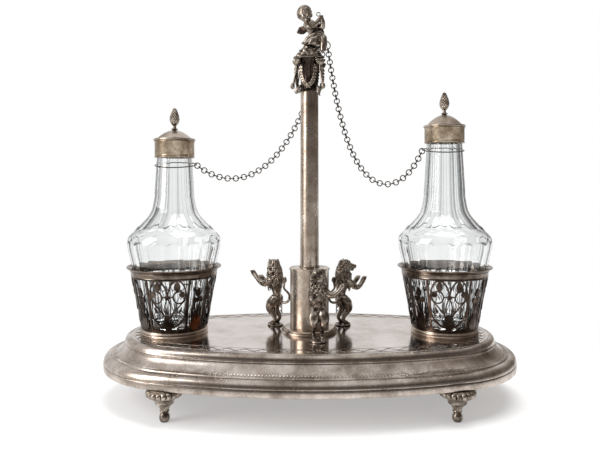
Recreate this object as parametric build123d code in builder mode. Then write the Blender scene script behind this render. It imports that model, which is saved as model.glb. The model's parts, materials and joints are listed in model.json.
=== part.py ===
"""Oil and vinegar cruet set: a footed oval stand with a figured column, two pierced
holders and two chained glass cruets with lift-off lids. Millimetres, +Z up, the origin
on the table under the column, +X to the right and -Y to the front."""

from build123d import *
import math
import os

os.makedirs("parts", exist_ok=True)

# ---- the stand's driving sizes ----
base_length = 302.0
base_depth = 164.0
base_end_radius = 69.0  # of the plan oval's two ends
foot_height = 22.0  # the rim's lower edge is this high
rim_band = 5.0  # straight band above the lower edge
torus_rise = 5.2
torus_run = 5.5
cove_rise = 7.3
cove_run = 9.5
step_rise = 1.5
crown_run = 3.5  # from the step's edge to the flat top
crown_rise = 3.5
sheet = 1.2  # wall of the raised silver sheet
frame_width = 24.0  # of the flat ring inside the rim
frame_thick = 1.6
foot_x = 95.0
foot_y = 60.0
foot_collar_radius = 12.3
foot_collar_height = 5.3
foot_ball_radius = 3.4
foot_flat_radius = 1.3
stud_radius = 2.0
stud_reach = 4.4  # a foot's stud above the frame's lower face
nut_height = 2.0
nut_radius = 3.6

# ---- the column's driving sizes ----
drum_radius = 14.4
drum_height = 46.3
drum_wall = 1.0
drum_cap_overhang = 0.7
drum_cap_thick = 1.5
drum_foot_radius = 21.0
drum_foot_height = 3.4
column_radius_low = 7.0
column_radius_high = 6.6
column_length = 130.7
column_wall = 0.9
rod_radius = 2.0
capital_height = 24.0
capital_radius_low = 6.4
capital_radius_high = 9.4
plate_radius = 12.4
plate_thick = 2.4
mound_height = 7.6
mound_radius_low = 9.5
mound_radius_high = 5.2
corner_turn = 7.0  # degrees that the capital is turned on the column
corner_radius = 11.6  # of the four corner scrolls about the axis

# ---- the lions ----
lion_circle = 32.0
lion_stations = {"front": 10.0, "left": -125.0, "right": 125.0}  # degrees from the front
lion_disc_radius = 6.4
lion_disc_thick = 1.2
lion_stud_radius = 1.5

# ---- the holders and cruets ----
holder_x = 101.0
gallery_radius_low = 24.1
gallery_radius_high = 31.3
gallery_height = 39.0
gallery_wall = 1.0
gallery_panels = 4
holder_ring_height = 3.5
holder_ring_step = 0.6  # the ring's stand-out past the gallery
holder_floor_thick = 1.2
lip_flare = 3.4  # the lip's stand-out past the gallery's top
lip_band = 4.2
lip_rise = 1.4
holder_stud_circle = 14.0
cruet_flank = 51.3  # height of the straight flank above the foot
cruet_body_height = 66.6  # from the foot to the widest line
cruet_swell = 2.6  # the widest line's stand-out past the flank's top
cruet_shoulder = 32.7  # from the widest line to the neck
cruet_wall = 2.0
cruet_floor = 5.0
neck_radius = 12.3  # at the mouth, inside the collar
neck_taper = 0.06  # radius lost per millimetre of neck
collar_radius = 14.8
collar_height = {"left": 12.7, "right": 11.9}
collar_bottom = {"left": 173.8, "right": 184.7}
collar_lip = 2.2
lid_flange = 0.8
lid_flange_thick = 1.6
dome_radius = 13.1
dome_flat_radius = 1.8  # the finial's seat
dome_height = {"left": 6.4, "right": 7.9}
bezel_depth = 5.0
bezel_wall = 0.8
finial_height = 17.0
finial_radius = 4.0

# ---- the chains ----
link_radius = 2.05  # of a link's centreline
link_wire = 0.4  # its wire's radius
link_play = 0.2  # between two neighbouring links
link_count = 52
neck_ring_radius = 15.3
neck_ring_wire = 0.4
neck_ring_drop = {"left": 5.2, "right": 5.0}  # below the collar, at the ring's middle
neck_ring_tilt = 9.0
eye_place = (13.0, 17.6)  # behind the child, towards the right
eye_rise = 5.0  # the eye's centre above the child's seat
eye_radius = 3.4
eye_wire = 0.45

# ---- clearances ----
solder = 0.05  # between two pieces joined by solder or cement
bolt_play = 0.1  # round a rod or stud in its hole
slide_play = 0.3  # between a lid and its cruet's mouth
cruet_play = 0.8  # between a cruet's flank and its gallery

# ---- worked out from the sizes above ----
side_radius = (
    (base_length / 2 - base_end_radius) ** 2 + (base_depth / 2) ** 2 - base_end_radius**2
) / (base_depth - 2 * base_end_radius)
band_z = foot_height + rim_band
torus_z = band_z + torus_rise
cove_z = torus_z + cove_rise
step_z = cove_z + step_rise
top_z = step_z + crown_rise
under_z = top_z - sheet
top_inset = torus_run + cove_run + crown_run
drum_top_z = top_z + drum_height
column_z = drum_top_z + drum_cap_thick
capital_z = column_z + column_length
plate_z = capital_z + capital_height
mound_z = plate_z + plate_thick
seat_z = mound_z + mound_height
holder_floor_z = top_z + holder_floor_thick
gallery_z = top_z + holder_ring_height
gallery_top_z = gallery_z + gallery_height
lip_z = gallery_top_z + lip_band
lip_radius = gallery_radius_high + lip_flare
gallery_slope = (gallery_radius_high - gallery_radius_low) / gallery_height
mouth_radius = neck_radius - cruet_wall
link_pitch = 2 * link_radius - 2 * link_wire - link_play
eye_centre = Vector(*eye_place, seat_z + eye_rise)
chain_seat = link_radius - link_wire - eye_wire - 1.5 * link_play
chain_length = (link_count - 1) * link_pitch + 2 * chain_seat
signs = {"left": -1, "right": 1}


def finish(builder, node):
    """Labels a finished piece and writes its file."""
    builder.part.label = node
    export_step(builder.part, f"parts/{node}.step")


def oval(inset):
    """Adds the stand's four-centred oval, that far inside its rim, to a line."""
    half_length = base_length / 2 - inset
    end = base_end_radius - inset
    turn = math.degrees(math.atan2(side_radius - base_depth / 2, base_length / 2 - base_end_radius))
    first = JernArc((half_length, 0), (0, 1), end, turn)
    back = JernArc(first @ 1, first % 1, side_radius - inset, 180 - 2 * turn)
    left = JernArc(back @ 1, back % 1, end, 2 * turn)
    front = JernArc(left @ 1, left % 1, side_radius - inset, 180 - 2 * turn)
    JernArc(front @ 1, front % 1, end, turn)


def limb(start, end, start_radius, end_radius):
    """Adds a round-ended tapering limb between two points to a cast figure."""
    run = Vector(*end) - Vector(*start)
    with Locations(Location(Plane(origin=start, z_dir=run))):
        Cone(start_radius, end_radius, run.length, align=(Align.CENTER, Align.CENTER, Align.MIN))
    with Locations(end):
        Sphere(end_radius)


def around(radius, degrees, height):
    """A point at a bearing from the front, counted towards the right."""
    angle = math.radians(degrees)
    return (radius * math.sin(angle), -radius * math.cos(angle), height)


# ---- base: a raised sheet, hollow underneath ----
holder_studs = [
    (signs[side] * holder_x + x, y)
    for side in signs
    for x, y, _ in (around(holder_stud_circle, turn, 0) for turn in (0, 120, 240))
]
lion_studs = [around(lion_circle, turn, 0)[:2] for turn in lion_stations.values()]
feet = {
    f"foot_{row}_{side}": (signs[side] * foot_x, y)
    for row, y in (("front", -foot_y), ("back", foot_y))
    for side in signs
}

with BuildPart() as base_shell:
    with BuildLine() as rim_path:
        oval(0)
    edge = base_length / 2
    with BuildSketch(Plane.XZ) as moulding:
        with BuildLine():
            band = Line((edge, foot_height), (edge, band_z))
            torus = TangentArc(band @ 1, (edge - torus_run, torus_z), tangent=(0, 1))
            cove_x = edge - torus_run - cove_run
            cove = SagittaArc(torus @ 1, (cove_x, cove_z), -1.6)
            step = Line(cove @ 1, (cove_x, step_z))
            crown = TangentArc(step @ 1, (cove_x - crown_run, top_z), tangent=(0, 1))
            flat = Line(crown @ 1, (cove_x - crown_run - sheet, top_z))
            drop = Line(flat @ 1, (cove_x - crown_run - sheet, under_z))
            back_crown = Line(drop @ 1, (cove_x - crown_run + 0.4, under_z))
            back_step = Line(back_crown @ 1, (cove_x - sheet, step_z - 0.3))
            back_cove = Line(back_step @ 1, (cove_x - sheet, cove_z - 0.3))
            back_torus = SagittaArc(back_cove @ 1, (edge - torus_run - 0.6, torus_z - sheet), 1.6)
            back_band = TangentArc((edge - sheet, band_z), back_torus @ 1, tangent=(0, 1))
            inside = Line(back_band @ 0, (edge - sheet, foot_height))
            Line(inside @ 1, band @ 0)
        make_face()
    sweep(path=rim_path.wires()[0])
    with BuildSketch(Plane.XY.offset(under_z)):
        with BuildLine():
            oval(top_inset + sheet / 2)
        make_face()
    extrude(amount=sheet)
    with Locations((0, 0, under_z)):
        Cylinder(rod_radius + bolt_play, 3 * sheet, mode=Mode.SUBTRACT)
    with Locations(*[(x, y, under_z) for x, y in holder_studs]):
        Cylinder(stud_radius + bolt_play, 3 * sheet, mode=Mode.SUBTRACT)
    with Locations(*[(x, y, under_z) for x, y in lion_studs]):
        Cylinder(lion_stud_radius + bolt_play, 3 * sheet, mode=Mode.SUBTRACT)
finish(base_shell, "base_shell")

with BuildPart() as base_frame:
    with BuildSketch(Plane.XY.offset(foot_height)):
        with BuildLine():
            oval(sheet + solder)
        make_face()
        with BuildLine():
            oval(sheet + frame_width)
        make_face(mode=Mode.SUBTRACT)
        with Locations(*feet.values()):
            Circle(stud_radius + bolt_play, mode=Mode.SUBTRACT)
    extrude(amount=frame_thick)
finish(base_frame, "base_rim_frame")

# ---- feet: gadrooned collar, cone and ball, each with a stud ----
for node, (x, y) in feet.items():
    with BuildPart() as foot:
        with BuildSketch(Plane.XZ):
            with BuildLine():
                collar_z = foot_height - foot_collar_height
                ball_z = foot_ball_radius - 0.25
                floor = Line((0, 0), (foot_flat_radius, 0))
                ball = ThreePointArc(
                    floor @ 1, (foot_ball_radius, ball_z), (foot_flat_radius + 1, 2 * ball_z - 0.6)
                )
                cone = Line(ball @ 1, (9.0, collar_z))
                lobe = ThreePointArc(
                    cone @ 1,
                    (foot_collar_radius, collar_z + foot_collar_height / 2),
                    (9.6, foot_height),
                )
                Polyline(lobe @ 1, (0, foot_height), floor @ 0)
            make_face()
        revolve(axis=Axis.Z)
        with Locations((0, 0, foot_height)):
            Cylinder(stud_radius, stud_reach, align=(Align.CENTER, Align.CENTER, Align.MIN))
    foot.part.position = (x, y, 0)
    finish(foot, node)


def nuts(node, places, shaft_radius, bottom_z):
    """Writes one node with a hexagon nut at each place."""
    with BuildPart() as group:
        with BuildSketch(Plane.XY.offset(bottom_z)):
            with Locations(*places):
                RegularPolygon(nut_radius, 6)
                Circle(shaft_radius + solder, mode=Mode.SUBTRACT)
        extrude(amount=nut_height)
    finish(group, node)


nuts("foot_nuts", list(feet.values()), stud_radius, foot_height + frame_thick)
nuts("lion_nuts", lion_studs, lion_stud_radius, under_z - nut_height)
for number, side in enumerate(signs):
    own = holder_studs[3 * number : 3 * number + 3]
    nuts(f"holder_{side}_nuts", own, stud_radius, under_z - nut_height)

# ---- drum, column and the rod that pulls them down on the base ----
with BuildPart() as drum:
    with BuildSketch(Plane.XY.offset(top_z)):
        Circle(drum_radius)
        Circle(drum_radius - drum_wall, mode=Mode.SUBTRACT)
    extrude(amount=drum_height)
finish(drum, "drum")

with BuildPart() as drum_foot:
    with BuildSketch(Plane.XZ):
        with BuildLine():
            inner = drum_radius + solder
            under = Line((inner, top_z), (drum_foot_radius, top_z))
            lower = ThreePointArc(
                under @ 1,
                (drum_foot_radius - 0.2, top_z + drum_foot_height * 0.3),
                (drum_foot_radius - 1.2, top_z + drum_foot_height * 0.55),
            )
            upper = ThreePointArc(
                lower @ 1,
                (drum_foot_radius - 2.2, top_z + drum_foot_height * 0.9),
                (drum_foot_radius - 3.6, top_z + drum_foot_height),
            )
            Polyline(upper @ 1, (inner, top_z + drum_foot_height), under @ 0)
        make_face()
    revolve(axis=Axis.Z)
finish(drum_foot, "drum_base_ring")

with BuildPart() as drum_cap:
    with BuildSketch(Plane.XY.offset(drum_top_z)):
        Circle(drum_radius + drum_cap_overhang)
        Circle(rod_radius + bolt_play, mode=Mode.SUBTRACT)
    extrude(amount=drum_cap_thick)
    fillet(drum_cap.edges().filter_by(GeomType.CIRCLE).group_by(SortBy.RADIUS)[-1], 0.6)
finish(drum_cap, "drum_cap")

with BuildPart() as column:
    with BuildSketch(Plane.XZ):
        with BuildLine():
            Polyline(
                (column_radius_low, column_z),
                (column_radius_high, capital_z),
                (column_radius_high - column_wall, capital_z),
                (column_radius_low - column_wall, column_z),
                close=True,
            )
        make_face()
    revolve(axis=Axis.Z)
finish(column, "column_tube")

washer_radius = 8.0
washer_thick = 1.0
rod_bottom_z = under_z - washer_thick - nut_height - 1.5
rod_top_z = mound_z + mound_height * 0.6
with BuildPart() as rod:
    with BuildSketch(Plane.XY.offset(rod_bottom_z)):
        Circle(rod_radius)
    extrude(amount=rod_top_z - rod_bottom_z)
finish(rod, "tie_rod")

with BuildPart() as washer:
    with BuildSketch(Plane.XY.offset(under_z - washer_thick)):
        Circle(washer_radius)
        Circle(rod_radius + bolt_play, mode=Mode.SUBTRACT)
    extrude(amount=washer_thick)
finish(washer, "tie_rod_washer")
nuts("tie_rod_nut", [(0, 0)], rod_radius, under_z - washer_thick - nut_height)

# ---- capital: vase, plate, corner scrolls, festoons and drops ----
with BuildPart() as vase:
    with BuildSketch(Plane.XZ):
        with BuildLine():
            bore = rod_radius + bolt_play
            foot_line = Line((bore, capital_z), (capital_radius_low, capital_z))
            wall = SagittaArc(foot_line @ 1, (capital_radius_high, plate_z), 1.2)
            Polyline(wall @ 1, (bore, plate_z), foot_line @ 0)
        make_face()
    revolve(axis=Axis.Z)
finish(vase, "capital_vase")

with BuildPart() as plate:
    with BuildSketch(Plane.XY.offset(plate_z)):
        Circle(plate_radius)
        Circle(rod_radius + bolt_play, mode=Mode.SUBTRACT)
    extrude(amount=plate_thick)
    fillet(plate.edges().filter_by(GeomType.CIRCLE).group_by(SortBy.RADIUS)[-1], 0.8)
finish(plate, "capital_plate")

scroll_radius = 2.3
scroll_z = plate_z - scroll_radius - solder
corner_turns = [45 - corner_turn + 90 * step for step in range(4)]
with BuildPart() as scrolls:
    for turn in corner_turns:
        with Locations(around(corner_radius, turn, scroll_z)):
            Sphere(scroll_radius)
finish(scrolls, "capital_scrolls")

festoon_wire = 1.4
festoon_low_z = capital_z + 4.0
festoon_low_radius = capital_radius_low + festoon_wire + 1.0
with BuildPart() as festoons:
    for turn in corner_turns:
        for sweep_side in (-1, 1):
            top = Vector(*around(corner_radius - 1.4, turn + 17 * sweep_side, scroll_z - 2.4))
            low = Vector(*around(festoon_low_radius, turn + 44.9 * sweep_side, festoon_low_z))
            limb(tuple(top), tuple(low), festoon_wire, festoon_wire - 0.2)
    with BuildPart(mode=Mode.PRIVATE) as vase_room:
        with BuildSketch(Plane.XZ):
            with BuildLine():
                room_foot = Line((0, capital_z - 1), (capital_radius_low + solder, capital_z - 1))
                room_rise = Line(room_foot @ 1, (capital_radius_low + solder, capital_z))
                room_wall = SagittaArc(
                    room_rise @ 1, (capital_radius_high + solder, plate_z), 1.2
                )
                Polyline(room_wall @ 1, (0, plate_z), room_foot @ 0)
            make_face()
        revolve(axis=Axis.Z)
    add(vase_room.part, mode=Mode.SUBTRACT)
finish(festoons, "capital_festoons")

drop_length = 20.0
drop_bulb = 1.7
drop_turns = [45 - corner_turn, -45 - corner_turn, -135 - corner_turn]
with BuildPart() as drops:
    for turn in drop_turns:
        hung = around(corner_radius + 0.8, turn, scroll_z - scroll_radius - 0.3)
        bulb = around(corner_radius + 4.4, turn, scroll_z - drop_length)
        limb(hung, bulb, 0.8, drop_bulb)
finish(drops, "capital_drops")

# ---- mound and seated winged child ----
with BuildPart() as mound:
    with BuildSketch(Plane.XZ):
        with BuildLine():
            bore = rod_radius + bolt_play
            Polyline(
                (bore, mound_z),
                (mound_radius_low, mound_z),
                (mound_radius_low - 1.4, mound_z + mound_height * 0.4),
                (mound_radius_high, seat_z),
                (0, seat_z),
                (0, rod_top_z + bolt_play),
                (bore, rod_top_z + bolt_play),
                close=True,
            )
        make_face()
    revolve(axis=Axis.Z)
finish(mound, "mound")

with BuildPart() as child:
    with Locations((6.6, 0.5, seat_z + 4.5 + solder)):
        Sphere(4.5)
    limb((6.6, 0.5, seat_z + 4.6), (1.2, 0, seat_z + 15.4), 4.0, 4.4)
    limb((1.2, 0, seat_z + 15.4), (-2.4, -0.8, seat_z + 20.6), 2.6, 2.3)
    with Locations(Location(Plane(origin=(-3.7, -1.2, seat_z + 24.6), z_dir=(1, 0, 0.3)))):
        Sphere(6.3)
    limb((6.0, -1.6, seat_z + 4.6), (2.6, -5.6, seat_z + 6.4), 2.8, 2.3)
    limb((2.6, -5.6, seat_z + 6.4), (-3.6, -6.6, seat_z + 2.2), 2.3, 1.4)
    limb((8.4, -1.6, seat_z + 4.4), (10.4, -6.4, seat_z + 3.6), 2.8, 2.2)
    limb((10.4, -6.4, seat_z + 3.6), (9.4, -9.0, seat_z - 5.4), 2.2, 1.3)
    limb((4.4, -1.6, seat_z + 15.6), (8.6, -5.4, seat_z + 13.8), 1.9, 1.6)
    limb((8.6, -5.4, seat_z + 13.8), (8.6, -6.4, seat_z + 21.2), 1.6, 1.3)
    limb((-1.8, -2.8, seat_z + 15.2), (3.2, -7.4, seat_z + 13.6), 1.9, 1.6)
    limb((3.2, -7.4, seat_z + 13.6), (7.0, -7.2, seat_z + 20.4), 1.6, 1.2)
finish(child, "putto_figure")

wing_thick = 1.6
with BuildPart() as wings:
    for root, tip in (
        ((-2.4, 4.3, seat_z + 14.4), (-9.4, 7.0, seat_z + 9.8)),
        ((5.0, 4.3, seat_z + 13.6), (12.2, 6.4, seat_z + 12.4)),
    ):
        run = Vector(*tip) - Vector(*root)
        with BuildSketch(Plane(origin=root, x_dir=run, z_dir=(0, 1, 0.2))):
            with BuildLine():
                lead = SagittaArc((-1.0, 0.6), (run.length, 2.6), 1.6)
                trail = SagittaArc(lead @ 1, (run.length - 2.0, -3.4), 1.2)
                Polyline(trail @ 1, (-1.0, -1.6), lead @ 0)
            make_face()
        extrude(amount=wing_thick)
finish(wings, "putto_wings")

# ---- three rampant lions on discs ----
disc_top = top_z + lion_disc_thick
with BuildPart() as lion:
    with Locations((0, 0, top_z)):
        Cylinder(
            lion_disc_radius, lion_disc_thick, align=(Align.CENTER, Align.CENTER, Align.MIN)
        )
    with Locations((0, 0, top_z)):
        Cylinder(
            lion_stud_radius,
            sheet + nut_height + 0.6,
            align=(Align.CENTER, Align.CENTER, Align.MAX),
        )
    for x in (-2.8, 2.8):
        limb((x, -1.4, disc_top - 0.2), (x * 1.1, 1.4, disc_top + 9.4), 1.5, 1.8)
        limb((x * 1.1, 1.4, disc_top + 9.4), (x, -2.0, disc_top + 15.6), 1.8, 3.2)
        limb((x, -2.0, disc_top + 15.6), (x * 0.5, 0.6, disc_top + 20.6), 3.2, 3.6)
        limb((x * 1.6, -3.4, disc_top + 31.0), (x * 2.0, -7.4, disc_top + 27.4), 2.4, 1.9)
        limb((x * 2.0, -7.4, disc_top + 27.4), (x * 1.7, -15.4, disc_top + 30.4), 1.9, 1.7)
    limb((0, 0.6, disc_top + 20.6), (0, -1.4, disc_top + 31.0), 4.0, 6.0)
    limb((0, -1.4, disc_top + 31.0), (0, -1.2, disc_top + 38.6), 6.0, 6.2)
    limb((0, -1.2, disc_top + 38.6), (0, -4.4, disc_top + 43.2), 6.2, 4.6)
    limb((0, -4.4, disc_top + 43.2), (0, -9.6, disc_top + 42.4), 3.6, 2.2)
    limb((0, 2.6, disc_top + 19.0), (0, 7.6, disc_top + 15.4), 1.3, 1.1)
    limb((0, 7.6, disc_top + 15.4), (0, 11.4, disc_top + 18.6), 1.1, 1.0)
    limb((0, 11.4, disc_top + 18.6), (0, 10.4, disc_top + 24.4), 1.0, 1.7)
for name, turn in lion_stations.items():
    with BuildPart() as placed:
        with Locations(Location(around(lion_circle, turn, 0), (0, 0, turn))):
            add(lion.part)
    finish(placed, f"lion_{name}")

# ---- eye for the chains, on a bracket from the mound ----
with BuildPart() as eye:
    with Locations(Location(Plane(origin=eye_centre, z_dir=(0, 1, 0)))):
        Torus(eye_radius, eye_wire)
    bracket_top = eye_centre + Vector(-eye_radius, 0, 0)
    foot_point = Vector(4.4, 7.9, mound_z + 1.5)
    knee_point = Vector(6.6, 13.4, mound_z + 4.6)
    limb(tuple(foot_point), tuple(knee_point), 0.9, 0.8)
    limb(tuple(knee_point), tuple(bracket_top), 0.8, 0.6)
    with BuildPart(mode=Mode.PRIVATE) as bracket_room:
        with Locations((0, 0, mound_z)):
            Cone(
                mound_radius_low + solder,
                mound_radius_low - 1.4 + solder,
                mound_height * 0.4,
                align=(Align.CENTER, Align.CENTER, Align.MIN),
            )
    add(bracket_room.part, mode=Mode.SUBTRACT)
finish(eye, "chain_eye")

# ---- holders: floor, ring, pierced gallery and flared lip ----
for side, sign in signs.items():
    centre = (sign * holder_x, 0)
    ring_inner = gallery_radius_low - gallery_wall - 0.2
    with BuildPart() as floor_plate:
        with BuildSketch(Plane.XY.offset(top_z)):
            Circle(ring_inner - solder)
        extrude(amount=holder_floor_thick)
        with Locations(*[(*around(holder_stud_circle, t, 0)[:2], top_z) for t in (0, 120, 240)]):
            Cylinder(
                stud_radius,
                sheet + nut_height + 0.8,
                align=(Align.CENTER, Align.CENTER, Align.MAX),
            )
    floor_plate.part.position = (*centre, 0)
    finish(floor_plate, f"holder_{side}_floor")

    with BuildPart() as ring:
        with BuildSketch(Plane.XY.offset(top_z)):
            Circle(gallery_radius_low + holder_ring_step)
            Circle(ring_inner, mode=Mode.SUBTRACT)
        extrude(amount=holder_ring_height)
        fillet(ring.edges().filter_by(GeomType.CIRCLE).group_by(SortBy.RADIUS)[-1], 0.4)
    ring.part.position = (*centre, 0)
    finish(ring, f"holder_{side}_ring")

    with BuildPart() as gallery:
        with BuildSketch(Plane.XZ):
            with BuildLine():
                Polyline(
                    (gallery_radius_low, gallery_z),
                    (gallery_radius_high, gallery_top_z),
                    (gallery_radius_high - gallery_wall, gallery_top_z),
                    (gallery_radius_low - gallery_wall, gallery_z),
                    close=True,
                )
            make_face()
        revolve(axis=Axis.Z)
        for panel in range(gallery_panels):
            for turn, width in ((-15.5, 9.6), (15.5, 9.6), (39, 3.6), (51, 3.6)):
                bearing = 90 * panel + turn
                front = Plane(
                    origin=(0, 0, gallery_z + 3.0),
                    x_dir=around(1, bearing + 90, 0),
                    z_dir=around(1, bearing, 0),
                )
                with BuildSketch(front):
                    window_height = gallery_height - 6.0
                    with Locations((0, window_height / 2)):
                        RectangleRounded(width, window_height, width / 2.2)
                extrude(amount=gallery_radius_high + 2, mode=Mode.SUBTRACT)
    gallery.part.position = (*centre, 0)
    finish(gallery, f"holder_{side}_gallery")

    with BuildPart() as lip:
        with BuildSketch(Plane.XZ):
            with BuildLine():
                band_radius = gallery_radius_high + gallery_slope * lip_band
                outer = Line((gallery_radius_high, gallery_top_z), (band_radius, lip_z))
                flare = SagittaArc(outer @ 1, (lip_radius, lip_z + lip_rise), -0.4)
                turned = Line(flare @ 1, (lip_radius - 0.2, lip_z + lip_rise + 0.8))
                inner_flare = SagittaArc(turned @ 1, (band_radius - gallery_wall, lip_z + 0.8), 0.4)
                Polyline(
                    inner_flare @ 1,
                    (gallery_radius_high - gallery_wall, gallery_top_z),
                    outer @ 0,
                )
            make_face()
        revolve(axis=Axis.Z)
    lip.part.position = (*centre, 0)
    finish(lip, f"holder_{side}_lip")


# ---- cruets: blown and cut glass, hollow, with a silver collar ----
def cruet_side(inward, lift, neck_top):
    """The bottle's side from its foot to the mouth, moved inward by a wall."""
    foot_z = holder_floor_z + lift
    flank_z = holder_floor_z + cruet_flank
    belly_z = holder_floor_z + cruet_body_height
    neck_z = belly_z + cruet_shoulder
    gallery_bore = gallery_radius_low - gallery_wall - cruet_play - inward
    flank_radius = gallery_bore + gallery_slope * (flank_z - gallery_z)
    neck_low = neck_radius + neck_taper * (neck_top - neck_z) - inward
    belly_radius = flank_radius + cruet_swell
    flank = Line(
        (gallery_bore + gallery_slope * (foot_z - gallery_z), foot_z),
        (flank_radius, flank_z),
    )
    shoulder = Spline(
        flank @ 1,
        (belly_radius, belly_z),
        (neck_low + 0.68 * (belly_radius - neck_low), belly_z + 0.27 * cruet_shoulder),
        (neck_low + 0.16 * (belly_radius - neck_low), belly_z + 0.63 * cruet_shoulder),
        (neck_low, neck_z),
        tangents=[flank % 1, (-neck_taper, 1)],
    )
    return flank, shoulder, Line(shoulder @ 1, (neck_radius - inward, neck_top))


for side, sign in signs.items():
    centre = (sign * holder_x, 0, 0)
    neck_top = collar_bottom[side] + collar_height[side] - collar_lip
    collar_top = collar_bottom[side] + collar_height[side]
    with BuildPart() as bottle:
        with BuildSketch(Plane.XZ):
            with BuildLine():
                flank, shoulder, neck = cruet_side(0, 0, neck_top)
                Polyline(neck @ 1, (0, neck_top), (0, holder_floor_z), flank @ 0)
            make_face()
        revolve(axis=Axis.Z)
        with BuildSketch(Plane.XZ):
            with BuildLine():
                flank, shoulder, neck = cruet_side(cruet_wall, cruet_floor, neck_top)
                Polyline(
                    neck @ 1,
                    (0, neck_top),
                    (0, holder_floor_z + cruet_floor),
                    flank @ 0,
                )
            make_face()
        revolve(axis=Axis.Z, mode=Mode.SUBTRACT)
    bottle.part.position = centre
    finish(bottle, f"cruet_{side}_bottle")

    neck_at_collar = neck_radius + neck_taper * (neck_top - collar_bottom[side])
    with BuildPart() as collar:
        with BuildSketch(Plane.XZ):
            with BuildLine():
                Polyline(
                    (neck_at_collar + solder, collar_bottom[side]),
                    (collar_radius, collar_bottom[side]),
                    (collar_radius, collar_top),
                    (mouth_radius, collar_top),
                    (mouth_radius, neck_top + solder),
                    (neck_at_collar + solder, neck_top + solder),
                    close=True,
                )
            make_face()
        revolve(axis=Axis.Z)
    collar.part.position = centre
    finish(collar, f"cruet_{side}_collar")

    # the neck ring lies loose round the neck, dipping towards the front and the column
    ring_z = collar_bottom[side] - neck_ring_drop[side]
    ring_neck = neck_radius + neck_taper * (neck_top - ring_z)
    ring_shift = neck_ring_radius - neck_ring_wire - ring_neck - 2 * slide_play
    ring_centre = Vector(sign * holder_x - sign * ring_shift, 0, ring_z)
    with BuildPart() as neck_ring:
        with Locations(
            Location(Plane(origin=ring_centre, z_dir=Vector(0, 0, 1).rotate(Axis.X, neck_ring_tilt)))
        ):
            Torus(neck_ring_radius, neck_ring_wire)
    finish(neck_ring, f"cruet_{side}_neck_ring")

    # ---- lid: flange and dome, bezel inside the mouth, cone finial on top ----
    dome_z = collar_top + lid_flange_thick
    apex_z = dome_z + dome_height[side]
    with BuildPart() as lid:
        with BuildSketch(Plane.XZ):
            with BuildLine():
                seat = Line((0, collar_top), (collar_radius + lid_flange, collar_top))
                rim = Line(seat @ 1, (collar_radius + lid_flange, dome_z))
                ledge = Line(rim @ 1, (dome_radius, dome_z))
                dome = ThreePointArc(
                    ledge @ 1,
                    (dome_radius * 0.66, dome_z + dome_height[side] * 0.66),
                    (dome_flat_radius, apex_z),
                )
                Polyline(dome @ 1, (0, apex_z), seat @ 0)
            make_face()
        revolve(axis=Axis.Z)
        with BuildSketch(Plane.XZ):
            with BuildLine():
                bare_radius = mouth_radius - slide_play - bezel_wall
                under = Line((0, collar_top), (bare_radius, collar_top))
                hollow = ThreePointArc(
                    under @ 1,
                    (bare_radius * 0.7, collar_top + (apex_z - collar_top) * 0.5),
                    (dome_flat_radius, apex_z - 2 * sheet),
                )
                Polyline(hollow @ 1, (0, apex_z - 2 * sheet), under @ 0)
            make_face()
        revolve(axis=Axis.Z, mode=Mode.SUBTRACT)
    lid.part.position = centre
    finish(lid, f"lid_{side}_dome")

    bezel_radius = mouth_radius - slide_play
    with BuildPart() as bezel:
        with BuildSketch(Plane.XY.offset(collar_top - bezel_depth)):
            Circle(bezel_radius)
            Circle(bezel_radius - bezel_wall, mode=Mode.SUBTRACT)
        extrude(amount=bezel_depth)
    bezel.part.position = centre
    finish(bezel, f"lid_{side}_bezel")

    finial_z = apex_z + solder
    with BuildPart() as finial:
        with BuildSketch(Plane.XZ):
            with BuildLine():
                bottom = Line((0, finial_z), (2.6, finial_z))
                leaf = Line(bottom @ 1, (2.0, finial_z + 1.2))
                stem = SagittaArc(leaf @ 1, (2.4, finial_z + 4.6), -0.8)
                cone = Spline(
                    stem @ 1,
                    (finial_radius, finial_z + finial_height * 0.48),
                    (2.4, finial_z + finial_height * 0.82),
                    (0, finial_z + finial_height),
                )
                Line(cone @ 1, bottom @ 0)
            make_face()
        revolve(axis=Axis.Z)
    finial.part.position = centre
    finish(finial, f"lid_{side}_finial")

    # ---- chain: round links on a catenary from the eye to the neck ring ----
    eye_angle = math.radians(-90 + 30 * sign)
    start = eye_centre + Vector(eye_radius * math.cos(eye_angle), 0, eye_radius * math.sin(eye_angle))
    end = ring_centre + Vector(-sign * neck_ring_radius, 0, 0)
    level = Vector(end.X - start.X, end.Y - start.Y, 0)
    drop = end.Z - start.Z
    # the catenary's parameter, from sinh(u) / u = sqrt(length^2 - drop^2) / level
    ratio = math.sqrt(chain_length**2 - drop**2) / level.length
    low_u, high_u = 0.001, 20.0
    for _ in range(60):
        u = (low_u + high_u) / 2
        low_u, high_u = (u, high_u) if math.sinh(u) / u < ratio else (low_u, u)
    curve = level.length / (2 * u)
    first_x = curve * math.atanh(drop / chain_length) - level.length / 2
    places = []
    for number in range(link_count):
        along = chain_seat + number * link_pitch + curve * math.sinh(first_x / curve)
        x = curve * math.asinh(along / curve)
        point = start + level.normalized() * (x - first_x)
        point = point + Vector(0, 0, curve * (math.cosh(x / curve) - math.cosh(first_x / curve)))
        tangent = (level.normalized() + Vector(0, 0, math.sinh(x / curve))).normalized()
        flat_normal = level.cross(Vector(0, 0, 1)).normalized()
        normal = flat_normal if number % 2 else tangent.cross(flat_normal)
        places.append(Location(Plane(origin=point, x_dir=tangent, z_dir=normal)))
    with BuildPart() as chain:
        with Locations(*places):
            Torus(link_radius, link_wire)
    finish(chain, f"chain_{side}")
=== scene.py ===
"""Looks of the cruet set: worn silver stand, cast figures, chains and cut glass bottles."""

import bmesh
import bpy
import json
import math
import random
import numpy as np
from mathutils import Matrix, Vector


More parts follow.
